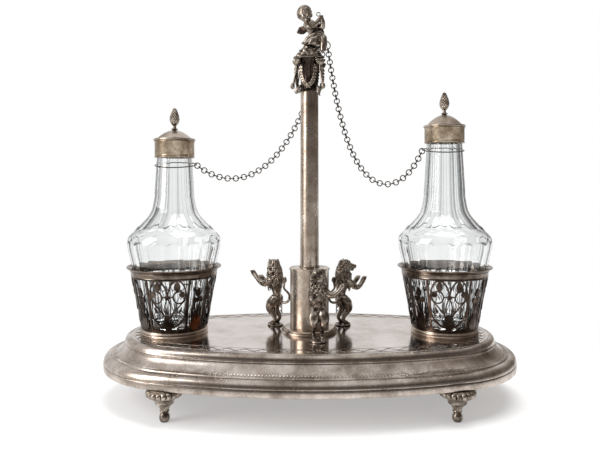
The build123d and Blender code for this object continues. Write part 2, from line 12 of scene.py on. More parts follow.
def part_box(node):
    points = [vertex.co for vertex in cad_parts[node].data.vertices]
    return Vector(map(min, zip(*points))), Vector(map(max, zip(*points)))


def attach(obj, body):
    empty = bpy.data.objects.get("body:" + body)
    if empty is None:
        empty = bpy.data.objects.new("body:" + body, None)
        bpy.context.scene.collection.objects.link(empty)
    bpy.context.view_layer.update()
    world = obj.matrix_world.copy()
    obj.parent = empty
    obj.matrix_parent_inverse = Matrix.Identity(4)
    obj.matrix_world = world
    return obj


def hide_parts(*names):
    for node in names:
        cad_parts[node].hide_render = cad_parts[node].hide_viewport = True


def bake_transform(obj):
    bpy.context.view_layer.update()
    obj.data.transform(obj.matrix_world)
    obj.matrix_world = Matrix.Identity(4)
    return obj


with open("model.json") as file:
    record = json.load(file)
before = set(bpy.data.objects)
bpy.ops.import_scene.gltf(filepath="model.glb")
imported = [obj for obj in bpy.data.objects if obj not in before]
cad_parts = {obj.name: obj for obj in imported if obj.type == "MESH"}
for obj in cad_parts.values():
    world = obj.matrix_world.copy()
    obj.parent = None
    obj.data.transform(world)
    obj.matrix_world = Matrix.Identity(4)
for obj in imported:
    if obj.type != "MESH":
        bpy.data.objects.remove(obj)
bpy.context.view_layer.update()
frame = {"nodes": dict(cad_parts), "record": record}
nodes = frame["nodes"]
MM = 0.001
SIDES = {"left": -1, "right": 1}


# ---------------------------------------------------------------- shapes, in millimetres
def low(node):
    """A node's lowest corner."""
    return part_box(node)[0] / MM


def high(node):
    """A node's highest corner."""
    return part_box(node)[1] / MM


def around(radius, degrees, height):
    """A point at a bearing from the front, counted towards the right."""
    angle = math.radians(degrees)
    return Vector((radius * math.sin(angle), -radius * math.cos(angle), height))


def join(*shapes):
    """One (points, faces) shape from several."""
    points, faces, start = [], [], 0
    for own_points, own_faces in shapes:
        own = np.asarray(own_points, float).reshape(-1, 3)
        points.append(own)
        faces += [tuple(i + start for i in face) for face in own_faces]
        start += len(own)
    return np.concatenate(points), faces


def moved(shape, matrix):
    """A shape after a 4x4 matrix."""
    points, faces = shape
    turned = np.asarray(points, float) @ np.array(matrix.to_3x3()).T
    return turned + np.array(matrix.translation), faces


def strip(rows, closed_rows=False, closed_ring=True):
    """Quads between rows of points that hold equally many points."""
    rows = [np.asarray(row, float) for row in rows]
    count, faces = len(rows[0]), []
    for i in range(len(rows) if closed_rows else len(rows) - 1):
        j = (i + 1) % len(rows)
        for a in range(count if closed_ring else count - 1):
            b = (a + 1) % count
            faces.append((i * count + a, i * count + b, j * count + b, j * count + a))
    return np.concatenate(rows), faces


def capped(rows):
    """Rows joined by quads, with a face over the first and the last."""
    points, faces = strip(rows)
    count = len(rows[0])
    last = (len(rows) - 1) * count
    return points, faces + [tuple(range(count)), tuple(last + i for i in range(count))]


def lathe(profile, steps=96, shape=None, closed=False):
    """A turned piece from (radius, height) points: closed where they go round a wall, else capped.
    shape(radius, height, turn) may cut flutes or facets into it."""
    rows = []
    for radius, height in profile:
        row = []
        for step in range(steps):
            turn = 2 * math.pi * step / steps
            r, z = shape(radius, height, turn) if shape else (radius, height)
            row.append((r * math.sin(turn), -r * math.cos(turn), z))
        rows.append(row)
    return strip(rows, closed_rows=True) if closed else capped(rows)


def tube(path, radius, sides=10, flat=1.0, closed=False):
    """A round wire along a path. radius is a number or a function of the way along, 0 to 1."""
    path = [Vector(p) for p in path]
    size = radius if callable(radius) else (lambda way: radius)
    ends = path[1] - path[-1] if closed else path[1] - path[0]
    side = ends.orthogonal().normalized()
    rows = []
    for i, point in enumerate(path):
        ahead = path[(i + 1) % len(path)] if closed or i + 1 < len(path) else point
        behind = path[i - 1] if closed or i else point
        along = (ahead - behind).normalized()
        side = (side - along * side.dot(along)).normalized()
        other = along.cross(side)
        own = size(i / max(1, len(path) - 1))
        rows.append([
            point + side * (own * math.cos(a)) + other * (own * flat * math.sin(a))
            for a in (2 * math.pi * k / sides for k in range(sides))
        ])
    return strip(rows, closed_rows=True) if closed else capped(rows)


def ribbon(path, normals, width, thick):
    """A flat bar cut from sheet, along a path with the sheet's normal at each point.
    width is a number or a function of the way along, 0 to 1."""
    size = width if callable(width) else (lambda way: width)
    path = [Vector(p) for p in path]
    rows = []
    for i, point in enumerate(path):
        along = path[min(i + 1, len(path) - 1)] - path[max(i - 1, 0)]
        side = along.cross(Vector(normals[i])).normalized()
        half = max(size(i / (len(path) - 1)) / 2, 0.04)
        bevel = min(0.3 * half, 0.2)
        out = Vector(normals[i]) * (thick / 2)
        rows.append([
            point + side * (half - bevel) + out, point + side * half + out * 0.4,
            point + side * half - out * 0.4, point + side * (half - bevel) - out,
            point - side * (half - bevel) - out, point - side * half - out * 0.4,
            point - side * half + out * 0.4, point - side * (half - bevel) + out,
        ])
    return capped(rows)


def blob(centre, radii, turn=(0, 0, 0), steps=14):
    """An ellipsoid, turned by degrees about x, y and z."""
    arcs = steps // 2 + 1
    profile = [(math.sin(math.pi * k / arcs), -math.cos(math.pi * k / arcs))
               for k in range(1, arcs)]
    radii = (radii,) * 3 if isinstance(radii, (int, float)) else radii
    spin = Matrix.Rotation(math.radians(turn[2]), 4, "Z")
    spin = spin @ Matrix.Rotation(math.radians(turn[1]), 4, "Y")
    spin = spin @ Matrix.Rotation(math.radians(turn[0]), 4, "X")
    matrix = Matrix.Translation(centre) @ spin @ Matrix.Diagonal((*radii, 1))
    return moved(lathe(profile, steps), matrix)


def smooth_path(points, count):
    """A Catmull-Rom curve through the points."""
    points = [Vector(p) for p in points]
    points = [2 * points[0] - points[1], *points, 2 * points[-1] - points[-2]]
    path = []
    for k in range(count):
        along = k / (count - 1) * (len(points) - 3)
        i = min(int(along), len(points) - 4)
        t = along - i
        a, b, c, d = points[i : i + 4]
        path.append(
            0.5 * (2 * b + (c - a) * t + (2 * a - 5 * b + 4 * c - d) * t**2
                   + (3 * b - a - 3 * c + d) * t**3)
        )
    return path


def limb(points, radii, count=14, sides=14):
    """A round-ended cast limb through points, with a radius at each."""
    path = smooth_path(points, count)
    marks = np.linspace(0, 1, len(radii))
    body = tube(path, lambda way: float(np.interp(way, marks, radii)), sides)
    ends = [blob(p, r, steps=sides)
            for p, r in ((path[0], radii[0]), (path[-1], radii[-1])) if r > 0.3]
    return join(body, *ends)


def leaf(root, tip, normal, width, thick, bow=0.0, count=7):
    """A cast leaf from its root to its tip, lying square to a normal and bowed along it."""
    root, tip, normal = Vector(root), Vector(tip), Vector(normal).normalized()
    path = [root.lerp(tip, k / (count - 1)) + normal * bow * math.sin(math.pi * k / (count - 1))
            for k in range(count)]
    shape = lambda way: width * (math.sin(math.pi * min(1, 0.12 + way * 0.88)) ** 0.8)
    return ribbon(path, [normal] * count, shape, thick)


def build(name, shape, sharp=35, scale=MM):
    """A Blender object from a shape in millimetres, smooth but for edges past an angle."""
    points, faces = shape
    mesh = bpy.data.meshes.new(name)
    mesh.from_pydata([tuple(p) for p in np.asarray(points, float) * scale], [], faces)
    work = bmesh.new()
    work.from_mesh(mesh)
    bmesh.ops.recalc_face_normals(work, faces=work.faces)
    work.to_mesh(mesh)
    work.free()
    mesh.shade_smooth()
    mesh.set_sharp_from_angle(angle=math.radians(sharp))
    piece = bpy.data.objects.new(name, mesh)
    bpy.context.scene.collection.objects.link(piece)
    return piece


def cast(name, shape, grid):
    """A figure cast in one: its parts grown together on a grid that fine, and smoothed."""
    pattern = build(name + "_pattern", shape, scale=1.0)
    grown = pattern.modifiers.new("grown", "REMESH")
    grown.mode = "VOXEL"
    grown.voxel_size = grid
    pattern.modifiers.new("soft", "SMOOTH").iterations = 1
    mesh = bpy.data.meshes.new_from_object(
        pattern.evaluated_get(bpy.context.evaluated_depsgraph_get())
    )
    bpy.data.objects.remove(pattern)
    mesh.transform(Matrix.Diagonal((MM, MM, MM, 1)))
    mesh.name = name
    mesh.shade_smooth()
    piece = bpy.data.objects.new(name, mesh)
    bpy.context.scene.collection.objects.link(piece)
    return piece


def dress(piece, material, replaced=(), body="stand"):
    """Gives a finished piece its material, material slot, the nodes it stands for and its body."""
    piece.data.materials.clear()
    piece.data.materials.append(material)
    if body:
        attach(piece, body)
    if replaced:
        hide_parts(*replaced)
    return piece


def shifted(profile, radius, height):
    """A profile moved out and up."""
    return [(r + radius, z + height) for r, z in profile]


# ---------------------------------------------------------------- materials
def linear(code, alpha=1.0):
    """An sRGB hex colour as linear values."""
    values = [int(code[i : i + 2], 16) / 255 for i in (1, 3, 5)]
    return (*((v / 12.92 if v <= 0.04045 else ((v + 0.055) / 1.055) ** 2.4) for v in values),
            alpha)


def add(material, kind, inputs=None, **settings):
    """Adds one node with its settings, and values or links for its inputs."""
    tree = material.node_tree
    made = tree.nodes.new(kind)
    for key, value in settings.items():
        setattr(made, key, value)
    for key, value in (inputs or {}).items():
        if isinstance(value, bpy.types.NodeSocket):
            tree.links.new(value, made.inputs[key])
        else:
            made.inputs[key].default_value = value
    return made


def new_material(name):
    """An empty node material, with its shader and output joined."""
    material = bpy.data.materials.new(name)
    material.use_nodes = True
    material.node_tree.nodes.clear()
    shader = add(material, "ShaderNodeBsdfPrincipled")
    add(material, "ShaderNodeOutputMaterial", {"Surface": shader.outputs["BSDF"]})
    return material, shader


def ramp(material, factor, stops):
    """A colour ramp from (place, hex colour) stops."""
    made = add(material, "ShaderNodeValToRGB", {"Fac": factor})
    while len(made.color_ramp.elements) < len(stops):
        made.color_ramp.elements.new(0.5)
    for element, (place, colour) in zip(made.color_ramp.elements, stops):
        element.position = place
        element.color = linear(colour)
    return made.outputs["Color"]


def silver(name, bright, mid, dark, rough, hollow, reach, cloud_size, grain, dent):
    """Silver after a century of polishing: bright where rubbed, brown in random clouds, and
    darkened in its crevices as painted shade. hollow is how far that painted shade darkens
    crevices within reach;
    cloud_size and reach are in millimetres, and grain and dent are the depths of its pits and of
    its waves, in millimetres too."""
    material, shader = new_material(name)
    join_up = material.node_tree.links.new
    place = add(material, "ShaderNodeTexCoord").outputs["Object"]
    cloud = add(material, "ShaderNodeTexNoise",
                {"Vector": place, "Scale": 1 / (cloud_size * MM), "Detail": 6.0, "Roughness": 0.6})
    fleck = add(material, "ShaderNodeTexNoise",
                {"Vector": place, "Scale": 1 / (1.6 * MM), "Detail": 4.0, "Roughness": 0.7})
    blend = add(material, "ShaderNodeMix", {0: 0.25, 2: cloud.outputs["Fac"],
                                            3: fleck.outputs["Fac"]})
    colour = ramp(material, blend.outputs[0], [(0.34, dark), (0.5, mid), (0.66, bright)])
    if hollow:
        # painted shade: crevices that ambient occlusion finds within reach are darkened toward the
        # dark tone
        nearby = add(material, "ShaderNodeAmbientOcclusion", {"Distance": reach * MM}, samples=6)
        crevice_shade_mask = add(material, "ShaderNodeMapRange", {"Value": nearby.outputs["AO"], "From Min": 0.1,
                                                    "From Max": 0.9, "To Min": hollow,
                                                    "To Max": 0.0})
        painted_crevice_shade = add(material, "ShaderNodeMix", {0: crevice_shade_mask.outputs[0], 6: colour,
                                                    7: linear(dark)},
                        data_type="RGBA")
        colour = painted_crevice_shade.outputs[2]
    join_up(colour, shader.inputs["Base Color"])
    shader.inputs["Metallic"].default_value = 1.0
    wear = add(material, "ShaderNodeMapRange", {"Value": blend.outputs[0], "From Min": 0.3,
                                                "From Max": 0.7, "To Min": rough * 1.35,
                                                "To Max": rough * 0.75})
    join_up(wear.outputs[0], shader.inputs["Roughness"])
    wave = add(material, "ShaderNodeTexNoise", {"Vector": place, "Scale": 1 / (11 * MM),
                                                "Detail": 2.0})
    waves = add(material, "ShaderNodeBump",
                {"Height": wave.outputs["Fac"], "Strength": 1.0, "Distance": dent * MM})
    pits = add(material, "ShaderNodeBump", {"Height": fleck.outputs["Fac"], "Strength": 1.0,
                                            "Distance": grain * MM,
                                            "Normal": waves.outputs["Normal"]})
    join_up(pits.outputs["Normal"], shader.inputs["Normal"])
    return material


# all these finishes except the planished sheet darken their crevices as painted shade, by the
# number after their roughness
# raised and planished sheet: near mirror, with faint waves of the hammer and a warm film
sheet_silver = silver("raised_sheet_silver", "#e0d8d2", "#cfc4bd", "#b0a398", 0.13, 0, 1, 30,
                      0.002, 0.05)
# the moulded edge holds more tarnish and fine scratches than the flat it frames, and painted shade
# darkens its crevices
moulded_silver = silver("moulded_sheet_silver", "#d2c8c0", "#b1a59b", "#7f7369", 0.24, 0.55, 1.6,
                        14, 0.012, 0.05)
# seamed tube under a yellowish film, with painted shade in its crevices
tube_silver = silver("seamed_tube_silver", "#d6cabe", "#ad9e8f", "#7c6c60", 0.28, 0.5, 1.5, 16,
                     0.008, 0.12)
# the collars' thin plating shows yellow where it is rubbed through; painted shade darkens their
# crevices
collar_silver = silver("rubbed_plated_silver", "#cfc2b0", "#9b8a75", "#6a5a46", 0.26, 0.5, 1.5, 9,
                       0.004, 0.06)
# the holders' lips: darker silver, with painted shade in their crevices that leaves the outer edge
# brightest
lip_silver = silver("lip_silver", "#a3968a", "#786b60", "#41362f", 0.22, 0.8, 1.4, 12, 0.008, 0.04)
# castings: bright on what stands out, and darkened brown black in what lies deep as painted shade
cast_silver = silver("cast_silver", "#c2b7ac", "#93877b", "#2f2722", 0.27, 1.0, 2.6, 7, 0.02, 0.03)
# pierced sheet, darkened nearly to black as painted shade, for parts that stand backlit or in
# shadow
pierced_painted_shade = silver("pierced_sheet_painted_shade", "#6a5e55", "#453a33", "#211a16", 0.3, 0.7, 1.6, 8,
                        0.015, 0.03)
# an old spill has turned one leaf red brown
stained_silver = silver("stained_sheet_silver", "#9a6a4c", "#74452c", "#46261a", 0.38, 0.6, 1.6, 5,
                        0.02, 0.03)
wire_silver = silver("drawn_silver_wire", "#7a7067", "#50473f", "#2a2420", 0.28, 0.6, 1.0, 5,
                     0.006, 0.0)
brass = silver("dull_turned_brass", "#b79a5e", "#97793f", "#5e4826", 0.35, 0.4, 2.0, 9, 0.01, 0.0)

# lead glass, blown and wheel cut: clear, with a trace of grey in its thickness
glass, glass_shader = new_material("clear_cut_glass")
glass_place = add(glass, "ShaderNodeTexCoord").outputs["Object"]
glass_streak = add(glass, "ShaderNodeTexNoise", {"Vector": glass_place, "Scale": 1 / (25 * MM)})
glass_tint = ramp(glass, glass_streak.outputs["Fac"], [(0.3, "#f6f7f7"), (0.7, "#fafbfb")])
glass.node_tree.links.new(glass_tint, glass_shader.inputs["Base Color"])
glass_wave = add(glass, "ShaderNodeBump", {"Height": glass_streak.outputs["Fac"], "Strength": 1.0,
                                           "Distance": 0.12 * MM})
glass.node_tree.links.new(glass_wave.outputs["Normal"], glass_shader.inputs["Normal"])
glass_shader.inputs["Transmission Weight"].default_value = 1.0
glass_shader.inputs["Roughness"].default_value = 0.0
glass_shader.inputs["IOR"].default_value = 1.52

FINISH = {"worn_silver": sheet_silver, "cast_silver": cast_silver, "chain_silver": wire_silver,
          "cut_glass": glass, "brass": brass}
TUBES = ("drum", "column_tube", "cruet_left_collar", "cruet_right_collar")
for row in frame["record"]["subparts"]:
    plain = nodes[row["node"]]
    plain.data.materials.clear()
    wire = row["node"].endswith("neck_ring")
    plain.data.materials.append(
        wire_silver if wire else tube_silver if row["node"] in TUBES
        else FINISH[row["material_slot"]]
    )
    plain.data.shade_smooth()
    plain.data.set_sharp_from_angle(angle=math.radians(30))

# ---------------------------------------------------------------- base: plan oval and moulding
END_RADIUS = 69.0  # of the plan oval's two ends
SHEET = 1.2
rim_z, top_z = low("base_shell").z, high("base_shell").z
half_length, half_depth = high("base_shell").x, high("base_shell").y
side_radius = (
    (half_length - END_RADIUS) ** 2 + half_depth**2 - END_RADIUS**2
) / (2 * (half_depth - END_RADIUS))
end_turn = math.atan2(side_radius - half_depth, half_length - END_RADIUS)


def oval_stations(spacing):
    """(centre x, centre y, radius, angle, distance round the rim) at even steps round the oval."""
    arcs = [
        (half_length - END_RADIUS, 0, END_RADIUS, -end_turn, end_turn),
        (0, half_depth - side_radius, side_radius, end_turn, math.pi - end_turn),
        (END_RADIUS - half_length, 0, END_RADIUS, math.pi - end_turn, math.pi + end_turn),
        (0, side_radius - half_depth, side_radius, math.pi + end_turn, 2 * math.pi - end_turn),
    ]
    stations, gone = [], 0.0
    for x, y, radius, start, stop in arcs:
        length = radius * (stop - start)
        count = max(2, round(length / spacing))
        for k in range(count):
            stations.append((x, y, radius, start + (stop - start) * k / count,
                             gone + length * k / count))
        gone += length
    return stations, gone


def on_oval(station, inset, z):
    """The point that far inside the rim at a station."""
    x, y, radius, angle, _ = station
    return Vector((x + (radius - inset) * math.cos(angle), y + (radius - inset) * math.sin(angle),
                   z))


def arc(start, stop, bulge, count):
    """Points on a shallow arc from start to stop, standing off their chord by bulge."""
    (a, b), (c, d) = start, stop
    length = math.hypot(c - a, d - b)
    points = []
    for k in range(count + 1):
        t = k / count
        off = 4 * bulge * t * (1 - t) / length
        points.append((a + (c - a) * t - (d - b) * off, b + (d - b) * t + (c - a) * off))
    return points


# (inset, height above the rim's foot) up to the flat, which lies CROWN above it
CROWN = top_z - rim_z
moulding = [(SHEET, 0), (0.5, 0), (0.1, 0.3), (0, 0.9), (0, 4.2), (0.2, 4.6), (0.5, 4.8),
            (0.25, 5.1)]
moulding += arc((0.1, 5.5), (5.2, 10.2), 1.5, 9) + [(5.6, 10.2), (5.9, 10.0), (6.2, 10.3)]
moulding += arc((6.5, 10.7), (14.4, 16.6), -0.9, 9)
moulding += [(14.7, 16.8), (14.8, 17.3), (14.5, 17.6), (14.8, 17.95), (15.1, 18.1), (14.8, 18.4),
             (15.0, 18.8)]
moulding += arc((15.1, 19.2), (18.4, CROWN - 0.05), 0.85, 7)
moulding += [(18.7, CROWN - 0.18), (19.0, CROWN - 0.2), (19.3, CROWN - 0.02), (19.9, CROWN)]
inner_moulding = [(SHEET, 5.0)] + arc((SHEET + 0.2, 5.4), (5.6, 9.0), 1.4, 5)
inner_moulding += arc((6.9, 9.4), (16.0, 16.4), -0.8, 5)
inner_moulding += arc((16.2, 17.6), (19.6, CROWN - SHEET), 0.7, 4)
stations, perimeter = oval_stations(0.9)


def rings(profile):
    """A row of points round the oval for each (inset, height above the rim's foot)."""
    return [[on_oval(s, inset, rim_z + z) for s in stations] for inset, z in profile]


edge = strip(rings(inner_moulding)[::-1] + rings(moulding))
dress(build("base_raised_edge", edge, 28), moulded_silver)
flat = capped(rings([(19.6, CROWN - SHEET), (19.9, CROWN)]))
dress(build("base_plateau", flat), sheet_silver, ["base_shell"])

# bright-cut lozenges in a row over the lower roll
def lozenge(centre, along, across, normal):
    """A four-sided cut with a raised point."""
    points = [centre + along, centre + across, centre - along, centre - across,
              centre + normal * 0.22, centre - normal * 0.3]
    return points, [(0, 1, 4), (1, 2, 4), (2, 3, 4), (3, 0, 4), (1, 0, 5), (2, 1, 5), (3, 2, 5),
                    (0, 3, 5)]


def facing(station):
    """The outward and the sideways direction at a station."""
    angle = station[3]
    return (Vector((math.cos(angle), math.sin(angle), 0)),
            Vector((-math.sin(angle), math.cos(angle), 0)))


cuts = []
for s in oval_stations(2.3)[0]:
    outward, level = facing(s)
    slope = outward * -0.78 + Vector((0, 0, 0.62))
    normal = slope.cross(level)
    normal = normal if normal.z > 0 else -normal
    for inset, lean in ((7.3, 1), (8.6, -1)):
        height = float(np.interp(inset, *zip(*moulding)))
        cuts.append(lozenge(on_oval(s, inset, rim_z + height), level * 0.9 + slope * 0.45 * lean,
                            slope * 0.36 - level * 0.1 * lean, normal))
dress(build("base_bright_cuts", join(*cuts), 10), moulded_silver)

# engraved border on the flat: a running stem with leaves between two lines
BORDER_MIDDLE = 26.0
BORDER_SWING = 2.2
waves = round(perimeter / 13)


def stem_inset(station):
    """How far inside the rim the border's stem runs at a station."""
    return BORDER_MIDDLE + BORDER_SWING * math.sin(2 * math.pi * waves * station[4] / perimeter)


fine_stations, _ = oval_stations(0.7)
border = [
    tube([on_oval(s, BORDER_MIDDLE + off, top_z - 0.02) for s in fine_stations], 0.13, 5,
         closed=True)
    for off in (-4.6, -4.0, 4.4)
]
border.append(tube([on_oval(s, stem_inset(s), top_z - 0.02) for s in fine_stations], 0.2, 5,
                   closed=True))
for s in oval_stations(perimeter / (waves * 6))[0]:
    outward, level = facing(s)
    root = on_oval(s, stem_inset(s), top_z)
    for lean in (-1, 1):
        tip = root + level * 1.5 + outward * (1.5 * lean)
        border.append(leaf(root, tip, (0, 0, 1), 0.62, 0.22, count=5))
dress(build("base_engraved_border", join(*border)), cast_silver)

# ---------------------------------------------------------------- feet
FOOT_PROFILE = [
    (1.3, 0.0), (2.5, 0.3), (3.2, 1.4), (3.45, 2.9), (3.2, 4.5), (2.5, 5.7), (2.3, 6.2),
    (2.9, 6.6), (3.2, 7.1), (2.9, 7.6), (3.0, 8.4), (3.5, 9.7), (4.4, 11.0), (5.1, 11.7),
    (5.9, 12.0), (6.2, 12.5),
    (6.0, 13.0), (6.5, 14.0), (7.5, 15.2), (8.7, 16.0), (9.3, 16.3), (10.3, 16.7), (11.4, 17.3),
    (12.1, 18.2), (12.3, 19.2), (12.1, 20.2), (11.4, 21.1), (10.2, 21.7), (9.4, 22.0), (2.0, 22.0),
    (2.0, 26.3),
]
GADROONS = 20


def gadroon(radius, z, turn):
    """Round lobes, cut deepest at the collar's widest line."""
    swell = max(0.0, 1 - abs(z - 19.1) / 3.0) ** 0.5 if radius > 9 else 0.0
    return radius * (1 - 0.12 * swell * (1 - abs(math.sin(GADROONS / 2 * turn)) ** 0.6)), z


for row in ("front", "back"):
    for side in SIDES:
        node = f"foot_{row}_{side}"
        middle = (low(node) + high(node)) / 2
        turned = moved(lathe(FOOT_PROFILE, 160, gadroon),
                       Matrix.Translation((middle.x, middle.y, 0)))
        dress(build(f"{node}_cast", turned, 50), cast_silver, [node])

# ---------------------------------------------------------------- drum, column and its foot
ROD_HOLE = 2.1  # round the tie rod
drum_radius = high("drum").x
ring_radius = high("drum_base_ring").x
drum_top = high("drum").z
ring_profile = [
    (0, 0), (0, 0.9), (-0.3, 1.5), (-1.0, 1.75), (-1.3, 1.8), (-1.35, 2.1), (-1.2, 2.5),
    (-1.5, 3.0), (-2.2, 3.3), (-3.2, 3.4), (-4.4, 3.1),
]
ring_profile = [(drum_radius + 0.05, top_z), *shifted(ring_profile, ring_radius, top_z),
                (drum_radius + 0.05, top_z + 3.2)]
dress(build("drum_foot_moulding", lathe(ring_profile, 160, closed=True), 40), tube_silver,
      ["drum_base_ring"])
cap_radius, cap_top = high("drum_cap").x, high("drum_cap").z
cap_profile = [(-0.1, -0.45), (0, 0), (-0.05, 0.5), (-0.35, 0.75), (-0.3, 1.0), (-0.7, 1.3),
               (-2.0, 1.45)]
cap_profile = [(ROD_HOLE, drum_top), (drum_radius + 0.1, drum_top),
               (drum_radius + 0.1, drum_top - 0.5),
               *shifted(cap_profile, cap_radius, drum_top), (8.4, cap_top), (ROD_HOLE, cap_top)]
dress(build("drum_lid_moulding", lathe(cap_profile, 128, closed=True), 40), tube_silver,
      ["drum_cap"])
solder_line = []
for k in range(72):
    lump = 0.45 + 0.22 * math.sin(5.3 * k) * math.sin(1.7 * k)
    spot = around(high("column_tube").x + 0.15, 5 * k, cap_top + 0.1)
    solder_line.append(blob(spot, (0.55, 0.55, lump), steps=8))
dress(build("column_solder_seam", join(*solder_line), 60), cast_silver)

# ---------------------------------------------------------------- capital
capital_z, plate_z = low("capital_vase").z, low("capital_plate").z
mound_z, mound_top = low("mound").z, high("mound").z
CORNERS = [38 + 90 * k for k in range(4)]
FRONTS = [-7 + 90 * k for k in range(4)]


def flutes(radius, z, turn):
    """Upright flutes, fading at the vase's foot and lip."""
    fade = min(1.0, max(0.0, (z - capital_z - 2.5) / 2), max(0.0, (plate_z - 0.6 - z) / 1.5))
    return radius * (1 - 0.05 * fade * abs(math.sin(9 * turn))) if radius > 4 else radius, z


vase_profile = [(ROD_HOLE, 0), (7.2, 0), (7.7, 0.6), (7.4, 1.3), (6.7, 1.7), (6.6, 2.4)]
vase_profile = shifted(vase_profile, 0, capital_z)
vase_profile += arc((6.5, capital_z + 3), (9.0, plate_z - 1), 0.7, 12)
vase_profile += [(9.6, plate_z - 0.6), (9.7, plate_z), (ROD_HOLE, plate_z)]
# the vase under the plate takes the pierced sheet's near-black painted shade
dress(build("capital_fluted_vase", lathe(vase_profile, 144, flutes, closed=True), 50),
      pierced_painted_shade, ["capital_vase"])


def abacus(radius, z, turn):
    """Four horned corners with hollow sides between them."""
    if radius < 4:
        return radius, z
    near = abs(math.cos(2 * (turn - math.radians(CORNERS[0]))))
    return radius * (0.8 + 0.22 * near**2.5), z


plate_profile = [(ROD_HOLE, 0), (11.4, 0), (12.2, 0.4), (12.3, 0.9), (11.7, 1.2), (12.1, 1.5),
                 (12.0, 2.0)]
plate_profile = [*shifted(plate_profile, 0, plate_z), (11.2, mound_z), (ROD_HOLE, mound_z)]
dress(build("capital_horned_plate", lathe(plate_profile, 160, abacus, closed=True), 40),
      cast_silver, ["capital_plate"])

shells, swags, tassels = [], [], []
scroll_z = plate_z - 2.4
for turn in CORNERS:
    out, side = around(1, turn, 0), around(1, turn + 90, 0)
    hinge = around(10.9, turn, scroll_z + 2.0)
    shells.append(blob(around(10.6, turn, scroll_z), (2.2, 2.2, 2.6)))
    for k in range(7):
        lean = math.radians(-66 + 22 * k)
        tip = (hinge + side * (3.9 * math.sin(lean))
               - Vector((0, 0, 4.4 * math.cos(lean))) + out * 1.6)
        middle = hinge.lerp(tip, 0.5) + out * 1.2
        shells.append(limb([hinge, middle, tip], [0.5, 0.75, 0.85], 8, 8))
    for hand in (-1, 1):
        eye = hinge + side * (2.9 * hand) + Vector((0, 0, 0.6)) + out * 0.4
        curl = [eye + (side * (hand * math.cos(a)) + Vector((0, 0, math.sin(a)))) * (1.7 - 0.2 * a)
                for a in np.linspace(0.0, 6.8, 22)]
        shells.append(tube(curl, lambda way: 0.55 - 0.2 * way, 8))
        shells.append(blob(eye, 0.7, steps=8))
    # a tail of curled leaf at the column's top, under each corner
    root = around(8.0, turn, capital_z + 4.2)
    shells.append(limb([root, root + out * 1.9 - Vector((0, 0, 1.8)),
                        root + out * 1.3 - Vector((0, 0, 4.4)),
                        root + out * 2.2 - Vector((0, 0, 5.6))], [0.9, 1.2, 0.8, 0.5], 10, 8))
for front in FRONTS:
    low_point = around(8.8, front, capital_z + 4.0)
    swags.append(blob(low_point, 1.5))
    for k in range(6):
        petal = math.radians(60 * k)
        side = around(1, front + 90, 0)
        centre = low_point + side * (1.9 * math.cos(petal)) + Vector((0, 0, 1.9 * math.sin(petal)))
        swags.append(blob(centre, 0.9, steps=8))
    for hand in (-1, 1):
        top = around(11.0, front + 28 * hand, scroll_z - 2.6)
        knee = around(10.6, front + 26 * hand, capital_z + 11)
        path = smooth_path(
            [top, knee, around(9.6, front + 16 * hand, capital_z + 6), low_point], 22)
        swags.append(tube(path, 0.55, 8))
        for k in range(1, 21, 2):
            along = (path[k + 1] - path[k - 1]).normalized()
            out = Vector((path[k].x, path[k].y, 0)).normalized()
            side = along.cross(out).normalized()
            for lean in (-1, 1):
                tip = path[k] + along * 2.1 + side * (1.5 * lean) + out * 0.5
                swags.append(leaf(path[k] - along * 0.4, tip, out, 1.3, 0.6, 0.35, 6))
DROPS = [38, -52, -142]
for turn in DROPS:
    top = around(12.2, turn, scroll_z - 1.6)
    path = [top, around(12.6, turn, scroll_z - 7), around(14.2, turn, scroll_z - 13.6),
            around(15.6, turn, scroll_z - 18.6)]
    tassels.append(limb(path, [0.8, 0.6, 0.7, 1.1], 18, 10))
    tassels.append(blob(around(15.9, turn, scroll_z - 18.7), (1.55, 1.55, 2.4)))
    for k in range(8):
        ring = around(1.25, 45 * k, 0)
        base = around(15.9, turn, scroll_z - 17.0) + ring * 0.5
        tassels.append(limb([base, base + ring * 0.55 - Vector((0, 0, 1.6)),
                             base + ring * 0.35 - Vector((0, 0, 3.4))], [0.3, 0.42, 0.25], 6, 6))
for name, parts, grid, node in (
    ("corner_shells", shells, 0.22, "scrolls"), ("leaf_swags", swags, 0.2, "festoons"),
    ("tassels", tassels, 0.2, "drops"),
):
    dress(cast(f"capital_{name}", join(*parts), grid), cast_silver,
          [f"capital_{node}"])


def rocky(radius, z, turn):
    """Uneven ledges of rock."""
    ledge = 0.5 * math.sin(3 * turn + 1.9 * z) + 0.35 * math.sin(7 * turn - 2.3 * z)
    return radius + ledge * min(1.0, radius / 6), z + 0.25 * math.sin(5 * turn + z)


rise = mound_top - mound_z
rock_profile = [(9.4, 0), (9.6, 0.2), (9.0, 0.34), (8.0, 0.38), (7.9, 0.55), (7.2, 0.66),
                (6.2, 0.7), (6.0, 0.86), (5.0, 0.97)]
rock_profile = [(r, mound_z + z * rise) for r, z in rock_profile]
rock_profile += [(3.0, mound_top - 0.1), (0.4, mound_top)]
dress(build("rock_mound", lathe(rock_profile, 72, rocky), 25), cast_silver,
      ["mound"])

# ---------------------------------------------------------------- seated winged child
# all in millimetres above its seat
head_at = Vector((-3.7, -1.2, 24.6))
gaze = Vector((0.4, -0.88, -0.28)).normalized()
brow_up = (Vector((0, 0, 1)) - gaze * gaze.z).normalized()
ear_side = gaze.cross(brow_up)


def on_head(forward, up, side):
    """A point from the head's centre, along its own axes."""
    return head_at + gaze * forward + brow_up * up + ear_side * side


